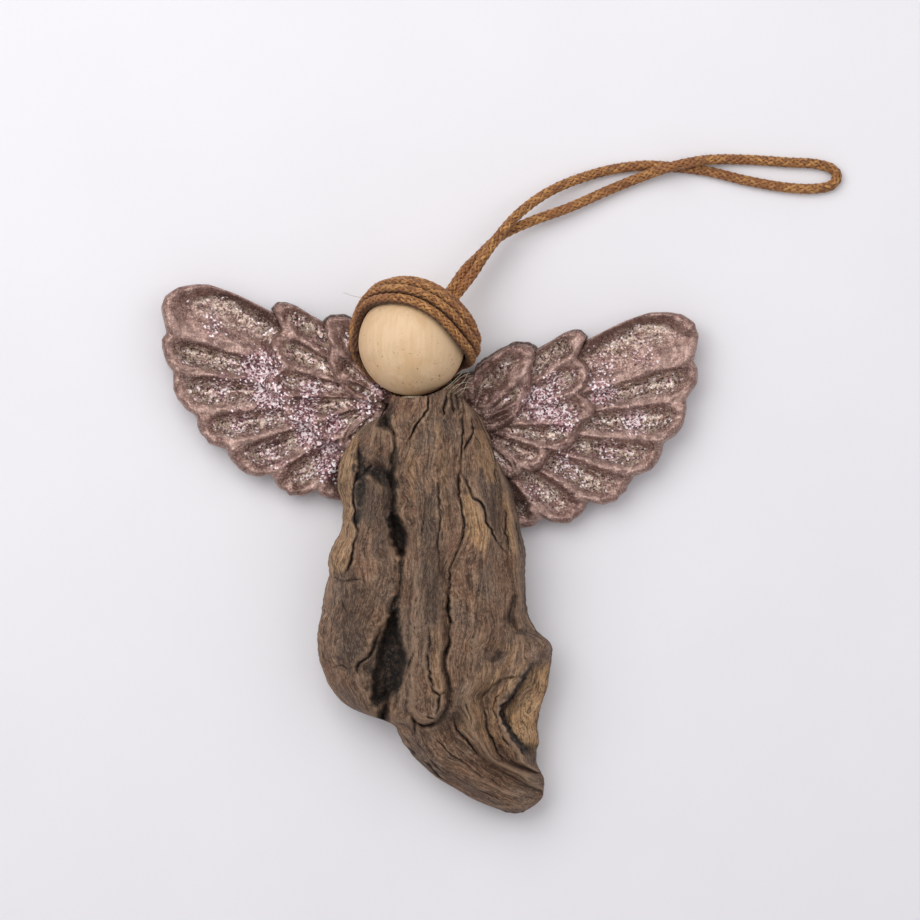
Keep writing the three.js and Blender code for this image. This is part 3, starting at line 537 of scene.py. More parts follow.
def new_form(*marks):
    """An empty bmesh that can keep the named numbers at its corners."""
    form = bmesh.new()
    for name in marks:
        form.verts.layers.float.new(name)
    return form


def mark(form, corners, **marks):
    """Keep named numbers at the corners of a bmesh, for its material."""
    for name, values in marks.items():
        layer = form.verts.layers.float[name]
        for corner, value in zip(corners, values):
            corner[layer] = value


def finished_piece(name, form, material, node):
    """Close up a bmesh as a smooth piece, which stands for a node of the frame where one is named."""
    bmesh.ops.remove_doubles(form, verts=form.verts, dist=MERGE_DISTANCE)
    bmesh.ops.holes_fill(form, edges=[edge for edge in form.edges if edge.is_boundary], sides=0)
    bmesh.ops.recalc_face_normals(form, faces=form.faces)
    for face in form.faces:
        face.smooth = True
    piece = placed(name, form, material)
    if node:
        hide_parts(node)
    return piece


def placed(name, form, material):
    """Put a bmesh into the scene as an object with one material."""
    mesh = bpy.data.meshes.new(name)
    form.to_mesh(mesh)
    form.free()
    mesh.materials.append(material)
    thing = bpy.data.objects.new(name, mesh)
    bpy.context.collection.objects.link(thing)
    return thing


# Material helper.

class Finish:
    """A procedural finish on one Principled shader. Colours are screen values from 0 to 255."""

    def __init__(self, name):
        self.material = bpy.data.materials.new(name)
        self.material.use_nodes = True
        self.tree = self.material.node_tree
        self.shader = self.tree.nodes["Principled BSDF"]
        self.place = self.node("ShaderNodeTexCoord", {}).outputs["Object"]

    def put(self, socket, value):
        """Link or set one input."""
        if isinstance(value, bpy.types.NodeSocket):
            self.tree.links.new(value, socket)
        elif value is not None:
            socket.default_value = value

    def node(self, kind, inputs, **settings):
        """A new node, with its settings and then its inputs by name or number."""
        node = self.tree.nodes.new(kind)
        for key, value in settings.items():
            setattr(node, key, value)
        for key, value in inputs.items():
            self.put(node.inputs[key], value)
        return node

    def done(self, colour, roughness, normal=None, **more):
        """Set the shader, and give the finished material."""
        inputs = {"Base Color": colour, "Roughness": roughness, "Normal": normal, **more}
        for name, value in inputs.items():
            self.put(self.shader.inputs[name.replace("_", " ")], value)
        return self.material

    def attribute(self, name):
        """A number kept at the piece's corners."""
        return self.node("ShaderNodeAttribute", {}, attribute_name=name).outputs["Fac"]

    def join(self, x, y, z):
        """Three numbers as a vector."""
        return self.node("ShaderNodeCombineXYZ", {0: x, 1: y, 2: z}).outputs[0]

    def noise(self, vector, scale, detail=4.0, roughness=0.55, distortion=0.0):
        """Cloudy noise."""
        inputs = {"Vector": vector, "Scale": scale, "Detail": detail, "Roughness": roughness,
                  "Distortion": distortion}
        return self.node("ShaderNodeTexNoise", inputs).outputs["Fac"]

    def drawn_noise(self, vector, scales, detail=4.0, roughness=0.55, distortion=0.0):
        """Noise that is drawn out by a scale along each axis."""
        drawn = self.node("ShaderNodeMapping", {"Vector": vector, "Scale": scales}).outputs[0]
        return self.noise(drawn, 1.0, detail, roughness, distortion)

    def math(self, kind, a, b=None, c=None):
        """One step of arithmetic."""
        return self.node("ShaderNodeMath", {0: a, 1: b, 2: c}, operation=kind).outputs[0]

    def vector(self, kind, a, b=None, c=None, scale=None):
        """One step of arithmetic on vectors."""
        inputs = {0: a, 1: b, 2: c, 3: scale}
        return self.node("ShaderNodeVectorMath", inputs, operation=kind).outputs[0]

    def gap(self, value, middle):
        """How far a value lies from a middle."""
        return self.math("ABSOLUTE", self.math("SUBTRACT", value, middle))

    def band(self, value, low, high, to_low=0.0, to_high=1.0):
        """A smooth step between two values."""
        inputs = {0: value, 1: low, 2: high, 3: to_low, 4: to_high}
        return self.node("ShaderNodeMapRange", inputs, interpolation_type="SMOOTHSTEP").outputs[0]

    def mix(self, factor, under, over):
        """One colour over another, the upper one as a socket or as screen values."""
        over = rgb(*over) if isinstance(over, tuple) else over
        return self.node("ShaderNodeMix", {0: factor, 6: under, 7: over}, data_type="RGBA").outputs[2]

    def cover(self, under, amount, share, over):
        """One colour over another, by a share of an amount."""
        return self.mix(self.math("MULTIPLY", amount, share), under, over)

    def coats(self, colour, *coats):
        """Thin coats, each as the value it follows from low to high, its strength and its colour."""
        for value, low, high, strength, tone in coats:
            colour = self.mix(self.band(value, low, high, 0.0, strength), colour, tone)
        return colour

    def ramp(self, factor, *stops):
        """A run of colours, each as (place, screen values)."""
        node = self.node("ShaderNodeValToRGB", {0: factor})
        steps = node.color_ramp.elements
        while len(steps) < len(stops):
            steps.new(0.5)
        for step, (place, tone) in zip(steps, stops):
            step.position = place
            step.color = rgb(*tone)
        return node.outputs[0]

    def bump(self, height, strength, distance, normal=None):
        """Fine relief from a height."""
        inputs = {"Height": height, "Strength": strength, "Distance": distance, "Normal": normal}
        return self.node("ShaderNodeBump", inputs).outputs[0]


def rgb(red, green, blue):
    """A colour as its screen values from 0 to 255, made linear."""
    def linear(value):
        share = value / 255
        return share / 12.92 if share <= 0.04045 else ((share + 0.055) / 1.055) ** 2.4
    return (linear(red), linear(green), linear(blue), 1.0)


# Finishes.

def cord_finish():
    """Waxed cotton: fine yarn streaks along each strand, painted shade deep between strands and where the
    hair's turns sink between each other, with a dull wax sheen.
    """
    finish = Finish("waxed_cotton_cord")
    yarn = finish.join(*(finish.attribute(name) for name in ("along", "around", "strand")))
    fibres = finish.drawn_noise(yarn, (700.0, 6.0, 3.0), detail=3.0)
    strands = finish.drawn_noise(yarn, (60.0, 0.2, 3.0), detail=2.0)
    patches = finish.noise(finish.place, 170.0, detail=3.0)
    colour = finish.ramp(fibres, (0.36, (98, 57, 26)), (0.5, (154, 101, 52)), (0.64, (202, 145, 80)))
    colour = finish.coats(
        colour,
        (patches, 0.46, 0.56, 0.5, (142, 87, 48)),
        (strands, 0.52, 0.64, 0.5, (208, 155, 90)),
        (strands, 0.46, 0.36, 0.5, (96, 56, 30)),
        # Painted shade where a strand lies deep in the cord, between the strands.
        (finish.attribute("height"), 0.95, 0.4, 0.95, (48, 22, 9)),
    )
    # Painted shade where the hair's turns sink between each other.
    colour = finish.cover(colour, finish.attribute("sunk"), 0.8, (54, 28, 13))
    roughness = finish.band(fibres, 0.3, 0.7, 0.72, 0.5)
    return finish.done(colour, roughness, finish.bump(fibres, 0.7, 0.0001), Sheen_Weight=0.08)


def head_finish():
    """Bare sanded wood: faint upright grain, small dark flecks and a few worn smudges."""
    finish = Finish("bare_head_wood")
    place = finish.place
    grain = finish.drawn_noise(place, (1100.0, 90.0, 1100.0), detail=5.0, distortion=0.6)
    bands = finish.drawn_noise(place, (140.0, 95.0, 140.0), distortion=0.4)
    smudge = finish.noise(place, 150.0)
    flecks = finish.noise(place, 1700.0, detail=2.0)
    gathered = finish.band(finish.noise(place, 330.0, detail=2.0), 0.5, 0.6)
    fleck = finish.math("MULTIPLY", finish.band(flecks, 0.63, 0.69), gathered)
    colour = finish.ramp(grain, (0.34, (221, 187, 146)), (0.5, (225, 191, 151)), (0.66, (229, 197, 158)))
    colour = finish.coats(
        colour,
        (bands, 0.48, 0.6, 0.4, (208, 166, 116)),
        (smudge, 0.54, 0.68, 0.3, (194, 166, 132)),
    )
    colour = finish.cover(colour, fleck, 0.6, (122, 92, 62))
    return finish.done(colour, finish.band(grain, 0.3, 0.7, 0.62, 0.48), finish.bump(grain, 0.25, 0.00008))


def driftwood_finish():
    """Weathered grey-brown wood: grain that follows the folds, pale worn strips, stains and charred hollows,
    with painted light on raised places and painted shade in low places, cracks, recesses, under the knob and
    along the notch's lip.
    """
    finish = Finish("weathered_driftwood")
    place = finish.place
    height = finish.node("ShaderNodeSeparateXYZ", {0: place}).outputs[2]
    grain = finish.join(finish.attribute("grain"), finish.attribute("along"), height)
    streaks = finish.drawn_noise(grain, (2.4, 0.24, 900.0), 6.0, 0.7, 0.6)
    fibres = finish.drawn_noise(grain, (5.5, 1.1, 2000.0), 4.0, 0.7, 0.3)
    broad = finish.drawn_noise(grain, (0.6, 0.08, 300.0), distortion=0.5)
    folds = finish.drawn_noise(grain, (0.42, 0.045, 200.0), detail=3.0, distortion=0.8)
    lines = finish.gap(finish.drawn_noise(grain, (0.9, 0.07, 300.0), 5.0, 0.6, 0.4), 0.5)
    hairs = finish.gap(finish.drawn_noise(grain, (1.9, 0.11, 500.0), 4.0, 0.6, 0.3), 0.47)
    specks = finish.noise(place, 2300.0, 3.0, 0.75)
    dust = finish.noise(place, 700.0, 5.0, 0.7)
    hue = finish.noise(place, 130.0)
    painted_relief_shading = finish.attribute("painted_relief_shading")
    colour = finish.ramp(streaks, (0.37, (76, 50, 36)), (0.46, (113, 82, 61)), (0.54, (141, 108, 83)),
                         (0.63, (178, 144, 114)))
    colour = finish.coats(
        colour,
        (broad, 0.48, 0.36, 0.5, (80, 56, 43)),
        (folds, 0.51, 0.58, 0.5, (147, 119, 99)),
        (folds, 0.47, 0.4, 0.5, (88, 64, 50)),
        (hue, 0.5, 0.62, 0.5, (126, 88, 65)),
        (hue, 0.5, 0.38, 0.45, (108, 92, 82)),
    )
    pale = finish.ramp(streaks, (0.36, (150, 108, 70)), (0.5, (188, 146, 102)), (0.64, (216, 179, 136)))
    colour = finish.mix(finish.attribute("pale"), colour, pale)
    colour = finish.coats(
        colour,
        (dust, 0.53, 0.66, 0.35, (162, 138, 117)),
        (dust, 0.47, 0.34, 0.4, (60, 43, 33)),
        (fibres, 0.54, 0.64, 0.42, (172, 146, 121)),
        (fibres, 0.45, 0.36, 0.6, (50, 34, 25)),
        (specks, 0.55, 0.66, 0.4, (182, 160, 136)),
        (specks, 0.44, 0.34, 0.5, (46, 33, 25)),
        (lines, 0.03, 0.0, 0.75, (44, 29, 21)),
        (hairs, 0.022, 0.0, 0.6, (50, 34, 25)),
        # Painted light on what stands above its surroundings, and painted shade on what lies below them.
        (painted_relief_shading, 0.1, 1.0, 0.4, (172, 142, 115)),
        (painted_relief_shading, -0.1, -1.0, 0.5, (46, 31, 23)),
    )
    # Darker stains, with painted shade under the knob and along the notch's lip, broken up by the fibres.
    broken = finish.band(fibres, 0.4, 0.6, 0.95, 0.5)
    colour = finish.cover(colour, finish.attribute("stain_and_shade"), broken, (56, 43, 35))
    # Painted shade in and beside the cracks and under the notch's lip.
    colour = finish.cover(colour, finish.attribute("painted_recess_shade"), 0.88, (38, 27, 21))
    # A near-black line of painted shade along the middle of each crack and along the notch's lip.
    frayed = finish.math("SUBTRACT", specks, 0.5)
    ragged = finish.math("MULTIPLY_ADD", frayed, 1.6, finish.attribute("crack"))
    colour = finish.coats(colour, (ragged, 1.5, 0.5, 0.93, (24, 16, 12)))
    soot = finish.ramp(specks, (0.4, (6, 5, 4)), (0.56, (17, 13, 11)), (0.68, (84, 70, 60)))
    colour = finish.cover(colour, finish.attribute("char"), finish.band(dust, 0.62, 0.42, 0.6, 1.0), soot)
    relief = finish.bump(streaks, 0.5, 0.00035)
    relief = finish.bump(fibres, 0.5, 0.0002, relief)
    relief = finish.bump(specks, 0.35, 0.00012, relief)
    return finish.done(colour, finish.band(fibres, 0.2, 0.8, 0.92, 0.72), relief)


def wing_finish():
    """Cast feathers rubbed with mauve metal paint: silver in the troughs and strewn glitter, with painted
    shade on the upper walls, painted shadow under each layer's edge and a painted highlight along each lower
    crest.
    """
    finish = Finish("rubbed_mauve_casting")
    place = finish.place
    trough = finish.attribute("trough")
    rub = finish.noise(place, 520.0, 7.0, 0.8)
    patch = finish.noise(place, 330.0, 5.0, 0.7)
    streak = finish.noise(place, 1150.0, 4.0, 0.75)
    speck = finish.noise(place, 2700.0, 2.0, 0.8)
    colour = finish.ramp(rub, (0.38, (113, 82, 75)), (0.5, (147, 115, 105)), (0.62, (178, 147, 136)))
    colour = finish.coats(
        colour,
        # Painted highlight along the lower crest of each feather, which faces the light.
        (finish.attribute("crest"), 0.1, 0.9, 0.25, (188, 158, 147)),
        # Painted shade on each feather's upper wall, which faces away from the light.
        (finish.attribute("wall"), 0.05, 0.8, 0.74, (78, 50, 45)),
        # Painted shadow under the edge of the layer above.
        (finish.attribute("seam"), 0.2, 0.95, 0.8, (54, 34, 30)),
    )
    worn = finish.math("MULTIPLY", finish.band(trough, 0.14, 0.58), finish.band(patch, 0.38, 0.5))
    silver = finish.ramp(streak, (0.41, (66, 50, 45)), (0.47, (160, 138, 123)), (0.54, (206, 187, 169)),
                         (0.66, (240, 227, 211)))
    colour = finish.cover(colour, worn, 0.92, silver)
    coarse = finish.band(trough, 0.05, 0.5, 0.5, 1.0)
    colour = finish.cover(colour, finish.band(speck, 0.55, 0.63, 0.0, 0.85), coarse, (240, 214, 200))
    colour = finish.cover(colour, finish.band(speck, 0.43, 0.35, 0.0, 0.9), coarse, (50, 30, 28))
    strewn = finish.band(finish.attribute("strewn"), 0.25, 0.85)
    thick = finish.math("MULTIPLY", strewn, finish.band(streak, 0.4, 0.56, 0.5, 1.0))
    colour = finish.cover(colour, thick, 0.55, (118, 74, 82))
    flakes = finish.node("ShaderNodeTexVoronoi", {"Vector": place, "Scale": 2700.0}).outputs["Color"]
    pick = finish.node("ShaderNodeSeparateColor", {0: flakes}).outputs
    amount = finish.math("MULTIPLY_ADD", worn, 0.22, finish.math("MULTIPLY", thick, 0.95))
    flake = finish.math("LESS_THAN", pick[0], amount)
    tint = finish.ramp(pick[1], (0.0, (58, 28, 38)), (0.35, (132, 86, 95)), (0.55, (220, 176, 180)),
                       (0.8, (255, 244, 245)))
    colour = finish.mix(flake, colour, tint)
    tilt = finish.vector("MULTIPLY_ADD", flakes, (2 * FLAKE_TILT,) * 3, (-FLAKE_TILT,) * 3)
    relief = finish.bump(rub, 0.5, 0.0003)
    relief = finish.bump(streak, 0.6, 0.00014, relief)
    relief = finish.vector("ADD", relief, finish.vector("SCALE", tilt, scale=flake))
    relief = finish.vector("NORMALIZE", relief)
    metallic = finish.band(flake, 0.0, 1.0, 0.6, 0.08)
    return finish.done(colour, finish.band(flake, 0.0, 1.0, 0.34, 0.32), relief, Metallic=metallic)


def glue_finish():
    """Set hot glue: cloudy, glossy and slightly yellow."""
    finish = Finish("set_hot_glue")
    cloud = finish.noise(finish.place, 700.0, detail=3.0)
    colour = finish.ramp(cloud, (0.3, (214, 200, 164)), (0.7, (240, 232, 212)))
    roughness = finish.band(cloud, 0.3, 0.7, 0.35, 0.2)
    relief = finish.bump(cloud, 0.2, 0.0002)
    return finish.done(colour, roughness, relief, Transmission_Weight=0.5, IOR=1.48)


def table_finish():
    """A smooth pale table top with the faintest mottling."""
    finish = Finish("pale_table")
    mottle = finish.noise(finish.place, 30.0, detail=3.0)
    return finish.done(finish.ramp(mottle, (0.3, (238.6, 236.8, 239.8)), (0.7, (241, 239.2, 242.2))), 0.6)


# The cord.

def braid(form, path, out, across, nested):
    """Add a round braid along a path: strands each way round that pass over and under each other."""
    count = len(path)
    length = np.r_[0, np.cumsum(np.linalg.norm(np.diff(path, axis=0), axis=1))]
    turn = 2 * np.pi * length / BRAID_PITCH
    for way in (1, -1):
        for strand in range(BRAID_STRANDS):
            angle = way * turn + 2 * np.pi * strand / BRAID_STRANDS
            radius = STRAND_MIDDLE + way * STRAND_LIFT * np.cos(BRAID_STRANDS * turn)
            radial = np.cos(angle)[:, None] * out + np.sin(angle)[:, None] * across
            centre = path + radius[:, None] * radial
            ahead = unit(np.gradient(centre, axis=0))
            side = unit(np.cross(ahead, radial))
            face = np.cross(side, ahead)
            corners, around, along = grid_corners(form, STRAND_SIDES, count - 1)
            step = np.rint(along * (count - 1)).astype(int)
            bend = 2 * np.pi * around + np.pi
            rise = STRAND_HALF_HEIGHT * np.cos(bend)
            spread = STRAND_HALF_WIDTH * np.sin(bend)
            places = centre[step] + rise[:, None] * face[step] + spread[:, None] * side[step]
            place_corners(corners, places)
            offset = (places - path[step]) / CORD_DIAMETER
            above = np.sum(offset * out[step], axis=1)
            # height is how far a strand stands out of the cord, for painted shade in the deep places; the
            # sunk mark is painted shade where turns of the hair nest.
            mark(form, corners, height=smoothstep(np.linalg.norm(offset, axis=1), *STRAND_DEPTHS),
                 sunk=smoothstep(above, *SUNK_HEIGHTS) if nested else np.zeros(len(corners)),
                 along=length[step], around=around,
                 strand=np.full(len(corners), strand + STRAND_SHIFT * (way + 1)))


def stray_fibres(form, path, out, across, count, seed):
    """Add short loose fibres that stand off the cord."""
    rng = np.random.default_rng(seed)
    for _ in range(count):
        at = rng.integers(5, len(path) - 5)
        turn = rng.uniform(0, 2 * np.pi)
        ahead = unit(path[at + 1] - path[at - 1])
        away = np.cos(turn) * out[at] + np.sin(turn) * across[at]
        if (path[at] + away * CORD_DIAMETER)[2] < FIBRE_CLEARANCE:
            continue
        reach = rng.uniform(*FIBRE_REACH) * MM
        start = path[at] + away * CORD_DIAMETER * 0.46
        middle = start + (0.6 * ahead * rng.choice((-1, 1)) + 0.35 * away) * reach
        end = middle + (0.5 * ahead * rng.choice((-1, 1)) + 0.5 * away + rng.normal(0, 0.3, 3)) * reach
        fibre, _length = smooth_route(np.array((start, middle, end)), reach / 5)
        side, over = (np.broadcast_to(direction[at], fibre.shape) for direction in (out, across))
        corners = thin_tube(form, fibre, side, over, FIBRE_RADIUS, 3)
        mark(form, corners, height=np.ones(len(corners)))


def thread(form, route, radius):
    """Add a thin round thread along a route given in millimetres, and give its corners."""
    path, _length = smooth_route(np.array(route) * MM, THREAD_STEP)
    ahead = unit(np.gradient(path, axis=0))
    side = unit(np.cross(ahead, UP))
    return thin_tube(form, path, side, np.cross(side, ahead), radius, 5)


def hair_path():
    """The hair's path over the head, with its outward directions."""
    front = unit(UP - CROWN * CROWN[2])
    side = np.cross(CROWN, front)
    radius = HEAD_RADIUS + 0.5 * CORD_DIAMETER
    count = round((HAIR_END - HAIR_START) * radius * HAIR_MEAN_ROUND / CORD_STEP)
    azimuth = np.linspace(HAIR_START, HAIR_END, count)
    rear = np.exp(-((np.mod(azimuth, 2 * np.pi) - HAIR_REAR_PLACE) / HAIR_REAR_WIDTH) ** 2)
    polar = HAIR_BROW_ANGLE + HAIR_SWAY * np.sin(2 * azimuth) - HAIR_SIDE_LIFT * np.sin(azimuth) ** 6
    polar = polar - HAIR_REAR_LIFT * rear - HAIR_PITCH / (radius + 0.1 * MM) * azimuth / (2 * np.pi)
    heap = HAIR_HEAP * np.sin(np.pi * (azimuth - HAIR_START) / (HAIR_END - HAIR_START))
    out = np.cos(azimuth)[:, None] * front + np.sin(azimuth)[:, None] * side
    direction = np.cos(polar)[:, None] * CROWN + np.sin(polar)[:, None] * out
    return HEAD_CENTRE + (radius + heap)[:, None] * direction, direction


def hair(material):
    """The hair: one braided cord wound round the head."""
    path, out = hair_path()
    across = unit(np.cross(unit(np.gradient(path, axis=0)), out))
    form = new_form(*CORD_MARKS)
    braid(form, path, out, across, True)
    stray_fibres(form, path, out, across, 60, 3)
    loose = thread(form, LONG_FIBRE, LONG_FIBRE_RADIUS)
    mark(form, loose, height=np.ones(len(loose)))
    piece = finished_piece("hair_cord", form, material, "hair_winding")
    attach(piece, "angel")


def hanging_loop(material):
    """The hanging loop: the same cord, from the glue behind the head out over the table and back."""
    lead = LOOP_ROUTE[[0, -1]] - LOOP_ROOT * LOOP_LEAD
    route = np.vstack((lead[:1], LOOP_ROUTE, lead[1:]))
    path, length = smooth_route(route, CORD_STEP)
    ahead = unit(np.gradient(path, axis=0))
    across = unit(np.cross(ahead, UP))
    out = np.cross(across, ahead)
    form = new_form(*CORD_MARKS)
    braid(form, path, out, across, False)
    stray_fibres(form, path, out, across, 50, 5)
    piece = finished_piece("loop_cord", form, material, "hanging_loop")
    start, end = (HEAD_CENTRE + LOOP_ROOT * distance for distance in LOOP_BEND)
    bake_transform(piece, "angel", "loop", start=tuple(start), end=tuple(end))


# The head.

def head(material):
    """The head: a turned ball, a little uneven from sanding."""
    form = bmesh.new()
    corners = bmesh.ops.create_uvsphere(form, u_segments=128, v_segments=80, radius=HEAD_RADIUS)["verts"]
    places = np.array([corner.co for corner in corners])
    uneven = noise(places[:, 0] / HEAD_PATCH + 9, places[:, 1] / HEAD_PATCH + 4, 2) - 0.5
    place_corners(corners, HEAD_CENTRE + places * (1 + HEAD_UNEVEN * uneven)[:, None])
    piece = finished_piece("head_ball", form, material, "wooden_head")
    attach(piece, "angel")


def head_plan(x, y):
    """How far places lie from the head's centre in plan, in millimetres."""
    return np.hypot(x - HEAD_CENTRE[0] / MM, y - HEAD_CENTRE[1] / MM)


def ball_under(plan, radius):
    """How high the under side of a ball about the head's centre lies, in millimetres."""
    return HEAD_CENTRE[2] / MM - np.sqrt(np.maximum(radius ** 2 - plan ** 2, 0))


# The wings.

def layer_reach(layer, degrees, side):
    """How far a layer of feathers reaches from the wing's root at each angle."""
    _height, edge, _ridges = layer
    high = min(edge[0][0], WING_HIGH_ANGLES[side])
    return np.where((degrees <= high) & (degrees >= edge[-1][0]), along_table(edge, degrees), 0)


def tab_reach(degrees):
    """How far the round tab that is glued under the driftwood reaches at each angle."""
    turn = np.radians(degrees)
    along = WING_TAB[0] * np.cos(turn) + WING_TAB[1] * np.sin(turn)
    across = WING_TAB[1] * np.cos(turn) - WING_TAB[0] * np.sin(turn)
    inside = np.maximum(WING_TAB[2] ** 2 - across ** 2, 0)
    return np.where((inside > 0) & (along > 0), along + np.sqrt(inside), 0)


def wing_reaches(degrees, side):
    """The reach of the top, middle and lowest layer at each angle, each a little past the one above."""
    reaches = []
    least = np.full(degrees.shape, LEAST_REACH)
    for layer in reversed(FEATHER_LAYERS):
        least = np.maximum(layer_reach(layer, degrees, side), least + LAYER_STEP)
        reaches.append(least)
    reaches[-1] = np.maximum(reaches[-1], np.maximum(tab_reach(degrees), WING_ROOT_RADIUS))
    return reaches


def wing_inside(out, up, side):
    """How far places on a wing, in its own frame, lie inside its outline, measured from its root."""
    degrees = np.degrees(np.arctan2(up, out))
    degrees = np.where(degrees < WING_LOW_ANGLE, degrees + 360, degrees)
    return wing_reaches(degrees, side)[-1] - np.hypot(out, up)


def feather_form(layer, degrees, reach, distance):
    """One layer's height at each place, how worn it is there, and where it gets painted shade on its upper
    wall and a painted highlight along its lower crest.
    """
    height, _edge, ridges = layer
    ridges = np.array(ridges)
    turn = np.clip(degrees, ridges[-1], ridges[0])
    number = np.clip(np.searchsorted(-ridges, -turn, side="right") - 1, 0, len(ridges) - 2)
    high, low = ridges[number], ridges[number + 1]
    across = 2 * (high - turn) / (high - low) - 1
    off = across + TROUGH_LEAN
    lean = np.where(off < 0, off / (1 - TROUGH_LEAN), off / (1 + TROUGH_LEAN))
    fade = smoothstep(reach - distance, *TIP_RIM) * smoothstep(distance / reach, 0.2, 0.55)
    size = np.clip(np.radians(high - low) * distance / TROUGH_WIDTH, 0, 1.1)
    bowl = fade * (1 + np.cos(np.pi * lean)) / 2
    near_tip = 1 - np.clip((reach - distance) / TIP_ROUNDING, 0, 1)
    rounding = TIP_DROP * (1 - np.sqrt(1 - near_tip ** 2))
    # Painted shade along the upper wall of each trough.
    wall = fade * np.exp(-((across + 0.62) / 0.4) ** 2)
    # Painted highlight along the lower crest of each trough.
    crest = smoothstep(distance / reach, 0.3, 0.6) * np.exp(-((across - 0.8) / 0.3) ** 2)
    first = (number == 0) & (layer is FEATHER_LAYERS[0])
    worn = bowl * np.where(first, FIRST_FEATHER_WEAR, 1)
    return height - TROUGH_DEPTH * size * bowl - rounding, worn, wall, crest


def feather_rows(row, degrees, reaches):
    """Where the rows of a wing lie, with their heights and marks, from the top layer outwards."""
    shown = {name: np.zeros(len(row)) for name in ("distance", "height", "trough", "wall", "crest", "seam")}
    start, inner = 0, np.zeros(len(row))
    for count, reach, layer in zip(WING_LAYER_ROWS, reaches, reversed(FEATHER_LAYERS)):
        here = ((row > start) | (start == 0)) & (row <= start + count)
        share = (row - start) / count
        place = inner + (reach - inner) * share
        rise, worn, wall, crest = feather_form(layer, degrees, reach, np.maximum(place, 0.01))
        # Nearness to the edge of the layer above: painted shadow there, and a slight sink in the face.
        seam = np.exp(-((place - inner) / SEAM_WIDTH) ** 2) * (start > 0)
        for name, values in zip(shown, (place, rise, worn, wall, crest, seam)):
            shown[name] = np.where(here, values, shown[name])
        start, inner = start + count, reach
    return shown


def wing_room(out, up, height, side):
    """Lower a wing's face on the tab that is glued under the driftwood, and under the hair."""
    on_tab = smoothstep(WING_TAB[2] - np.hypot(out - WING_TAB[0], up - WING_TAB[1]), -0.6, 0.2)
    height = height * (1 - on_tab) + np.minimum(height, WING_TAB_THICKNESS) * on_tab
    root_x, root_y, root_z = WING_ROOTS[side]
    plan = head_plan(root_x + side * out, root_y + up)
    clear = HAIR_REACH + 0.25
    room = (ball_under(plan, clear) - root_z) * math.cos(WING_TILT) - out * math.sin(WING_TILT)
    return np.maximum(np.where(plan < clear, np.minimum(height, room), height), WING_LEAST_HEIGHT)


def strewn_glitter(out, up, side):
    """How thickly glitter is strewn at each place on a wing."""
    strewn = np.zeros(len(out))
    for spot_out, spot_up, radius, strength in GLITTER[side]:
        gap = ((out - spot_out) ** 2 + (up - spot_up) ** 2) / radius ** 2
        strewn = np.maximum(strewn, strength * np.exp(-gap))
    return strewn


def close_wing(form):
    """Merge a wing's root, smooth its face and carry its rim down to the flat back."""
    bmesh.ops.remove_doubles(form, verts=form.verts, dist=MERGE_DISTANCE)
    inner = [corner for corner in form.verts if not corner.is_boundary]
    bmesh.ops.smooth_vert(form, verts=inner, factor=0.35, use_axis_x=True, use_axis_y=True, use_axis_z=True)
    edges = [edge for edge in form.edges if edge.is_boundary]
    for share, pull in WING_RIM:
        made = bmesh.ops.extrude_edge_only(form, edges=edges)["geom"]
        for corner in made:
            if isinstance(corner, bmesh.types.BMVert):
                corner.co.z *= share
                corner.co -= Vector((corner.co.x, corner.co.y, 0)).normalized() * pull * MM
        edges = [item for item in made if isinstance(item, bmesh.types.BMEdge)]


def wing(name, node, side, material):
    """One wing: a fan of rows about its root, raised into layers of spoons, with a flat back."""
    form = new_form("trough", "wall", "seam", "strewn", "crest")
    columns = WING_FAN_COLUMNS + WING_ROOT_COLUMNS
    rows = sum(WING_LAYER_ROWS)
    corners, around, along = grid_corners(form, columns, rows)
    column = np.rint(around * columns)
    fan = np.clip(column / WING_FAN_COLUMNS, 0, 1)
    back = np.clip((column - WING_FAN_COLUMNS) / WING_ROOT_COLUMNS, 0, 1)
    fan_width = WING_HIGH_ANGLES[side] - WING_LOW_ANGLE
    degrees = WING_LOW_ANGLE + fan_width * fan + (360 - fan_width) * back
    reaches = wing_reaches(degrees, side)
    ragged = WING_RAGGED * (noise(degrees / 2.1 + 300, degrees * 0, 31 + side) - 0.5)
    reaches[-1] = reaches[-1] + ragged * (reaches[-1] > WING_RAGGED_FROM)
    shown = feather_rows(np.rint(along * rows), degrees, reaches)
    turn = np.radians(degrees)
    out, up = shown["distance"] * np.cos(turn), shown["distance"] * np.sin(turn)
    rough, swell, dents = (ripple(out, up, size, size, 50, seed + side) for size, seed in WING_BUMPS)
    height = shown["height"] + 0.32 * rough + 0.9 * swell + 0.65 * dents - 0.4 * shown["seam"]
    height = wing_room(out, up, height, side)
    tilted = (out + height * math.sin(WING_TILT)) / math.cos(WING_TILT)
    place_corners(corners, np.c_[tilted, up, height] * MM)
    # Painted shadow on the right wing beside the wood, near its root.
    painted_root_shadow = np.exp(-(out - 3) ** 2 / 24 - (up - 0.5) ** 2 / 70) * (side > 0)
    wall = np.maximum(shown["wall"] * WALL_SHADE[side], painted_root_shadow * (0.75 + 0.8 * dents))
    mark(form, corners, trough=shown["trough"] * (1 - 0.9 * painted_root_shadow), wall=wall, seam=shown["seam"],
         strewn=strewn_glitter(out, up, side), crest=shown["crest"] * (1 - painted_root_shadow))
    close_wing(form)
    root = Vector(WING_ROOTS[side]) * MM
    lean = Matrix.Rotation(-side * WING_TILT, 4, "Y")
    flip = Matrix.Scale(side, 4, (1, 0, 0))
    bmesh.ops.transform(form, matrix=Matrix.Translation(root) @ lean @ flip, verts=form.verts)
    piece = finished_piece(name, form, material, node)
    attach(piece, "angel")


# The driftwood.

def along_guide(guide, places):
    """The x of a guide line, given as (x, y) from neck to foot, at places along y."""
    return along_table([(y, x) for x, y in guide], places)


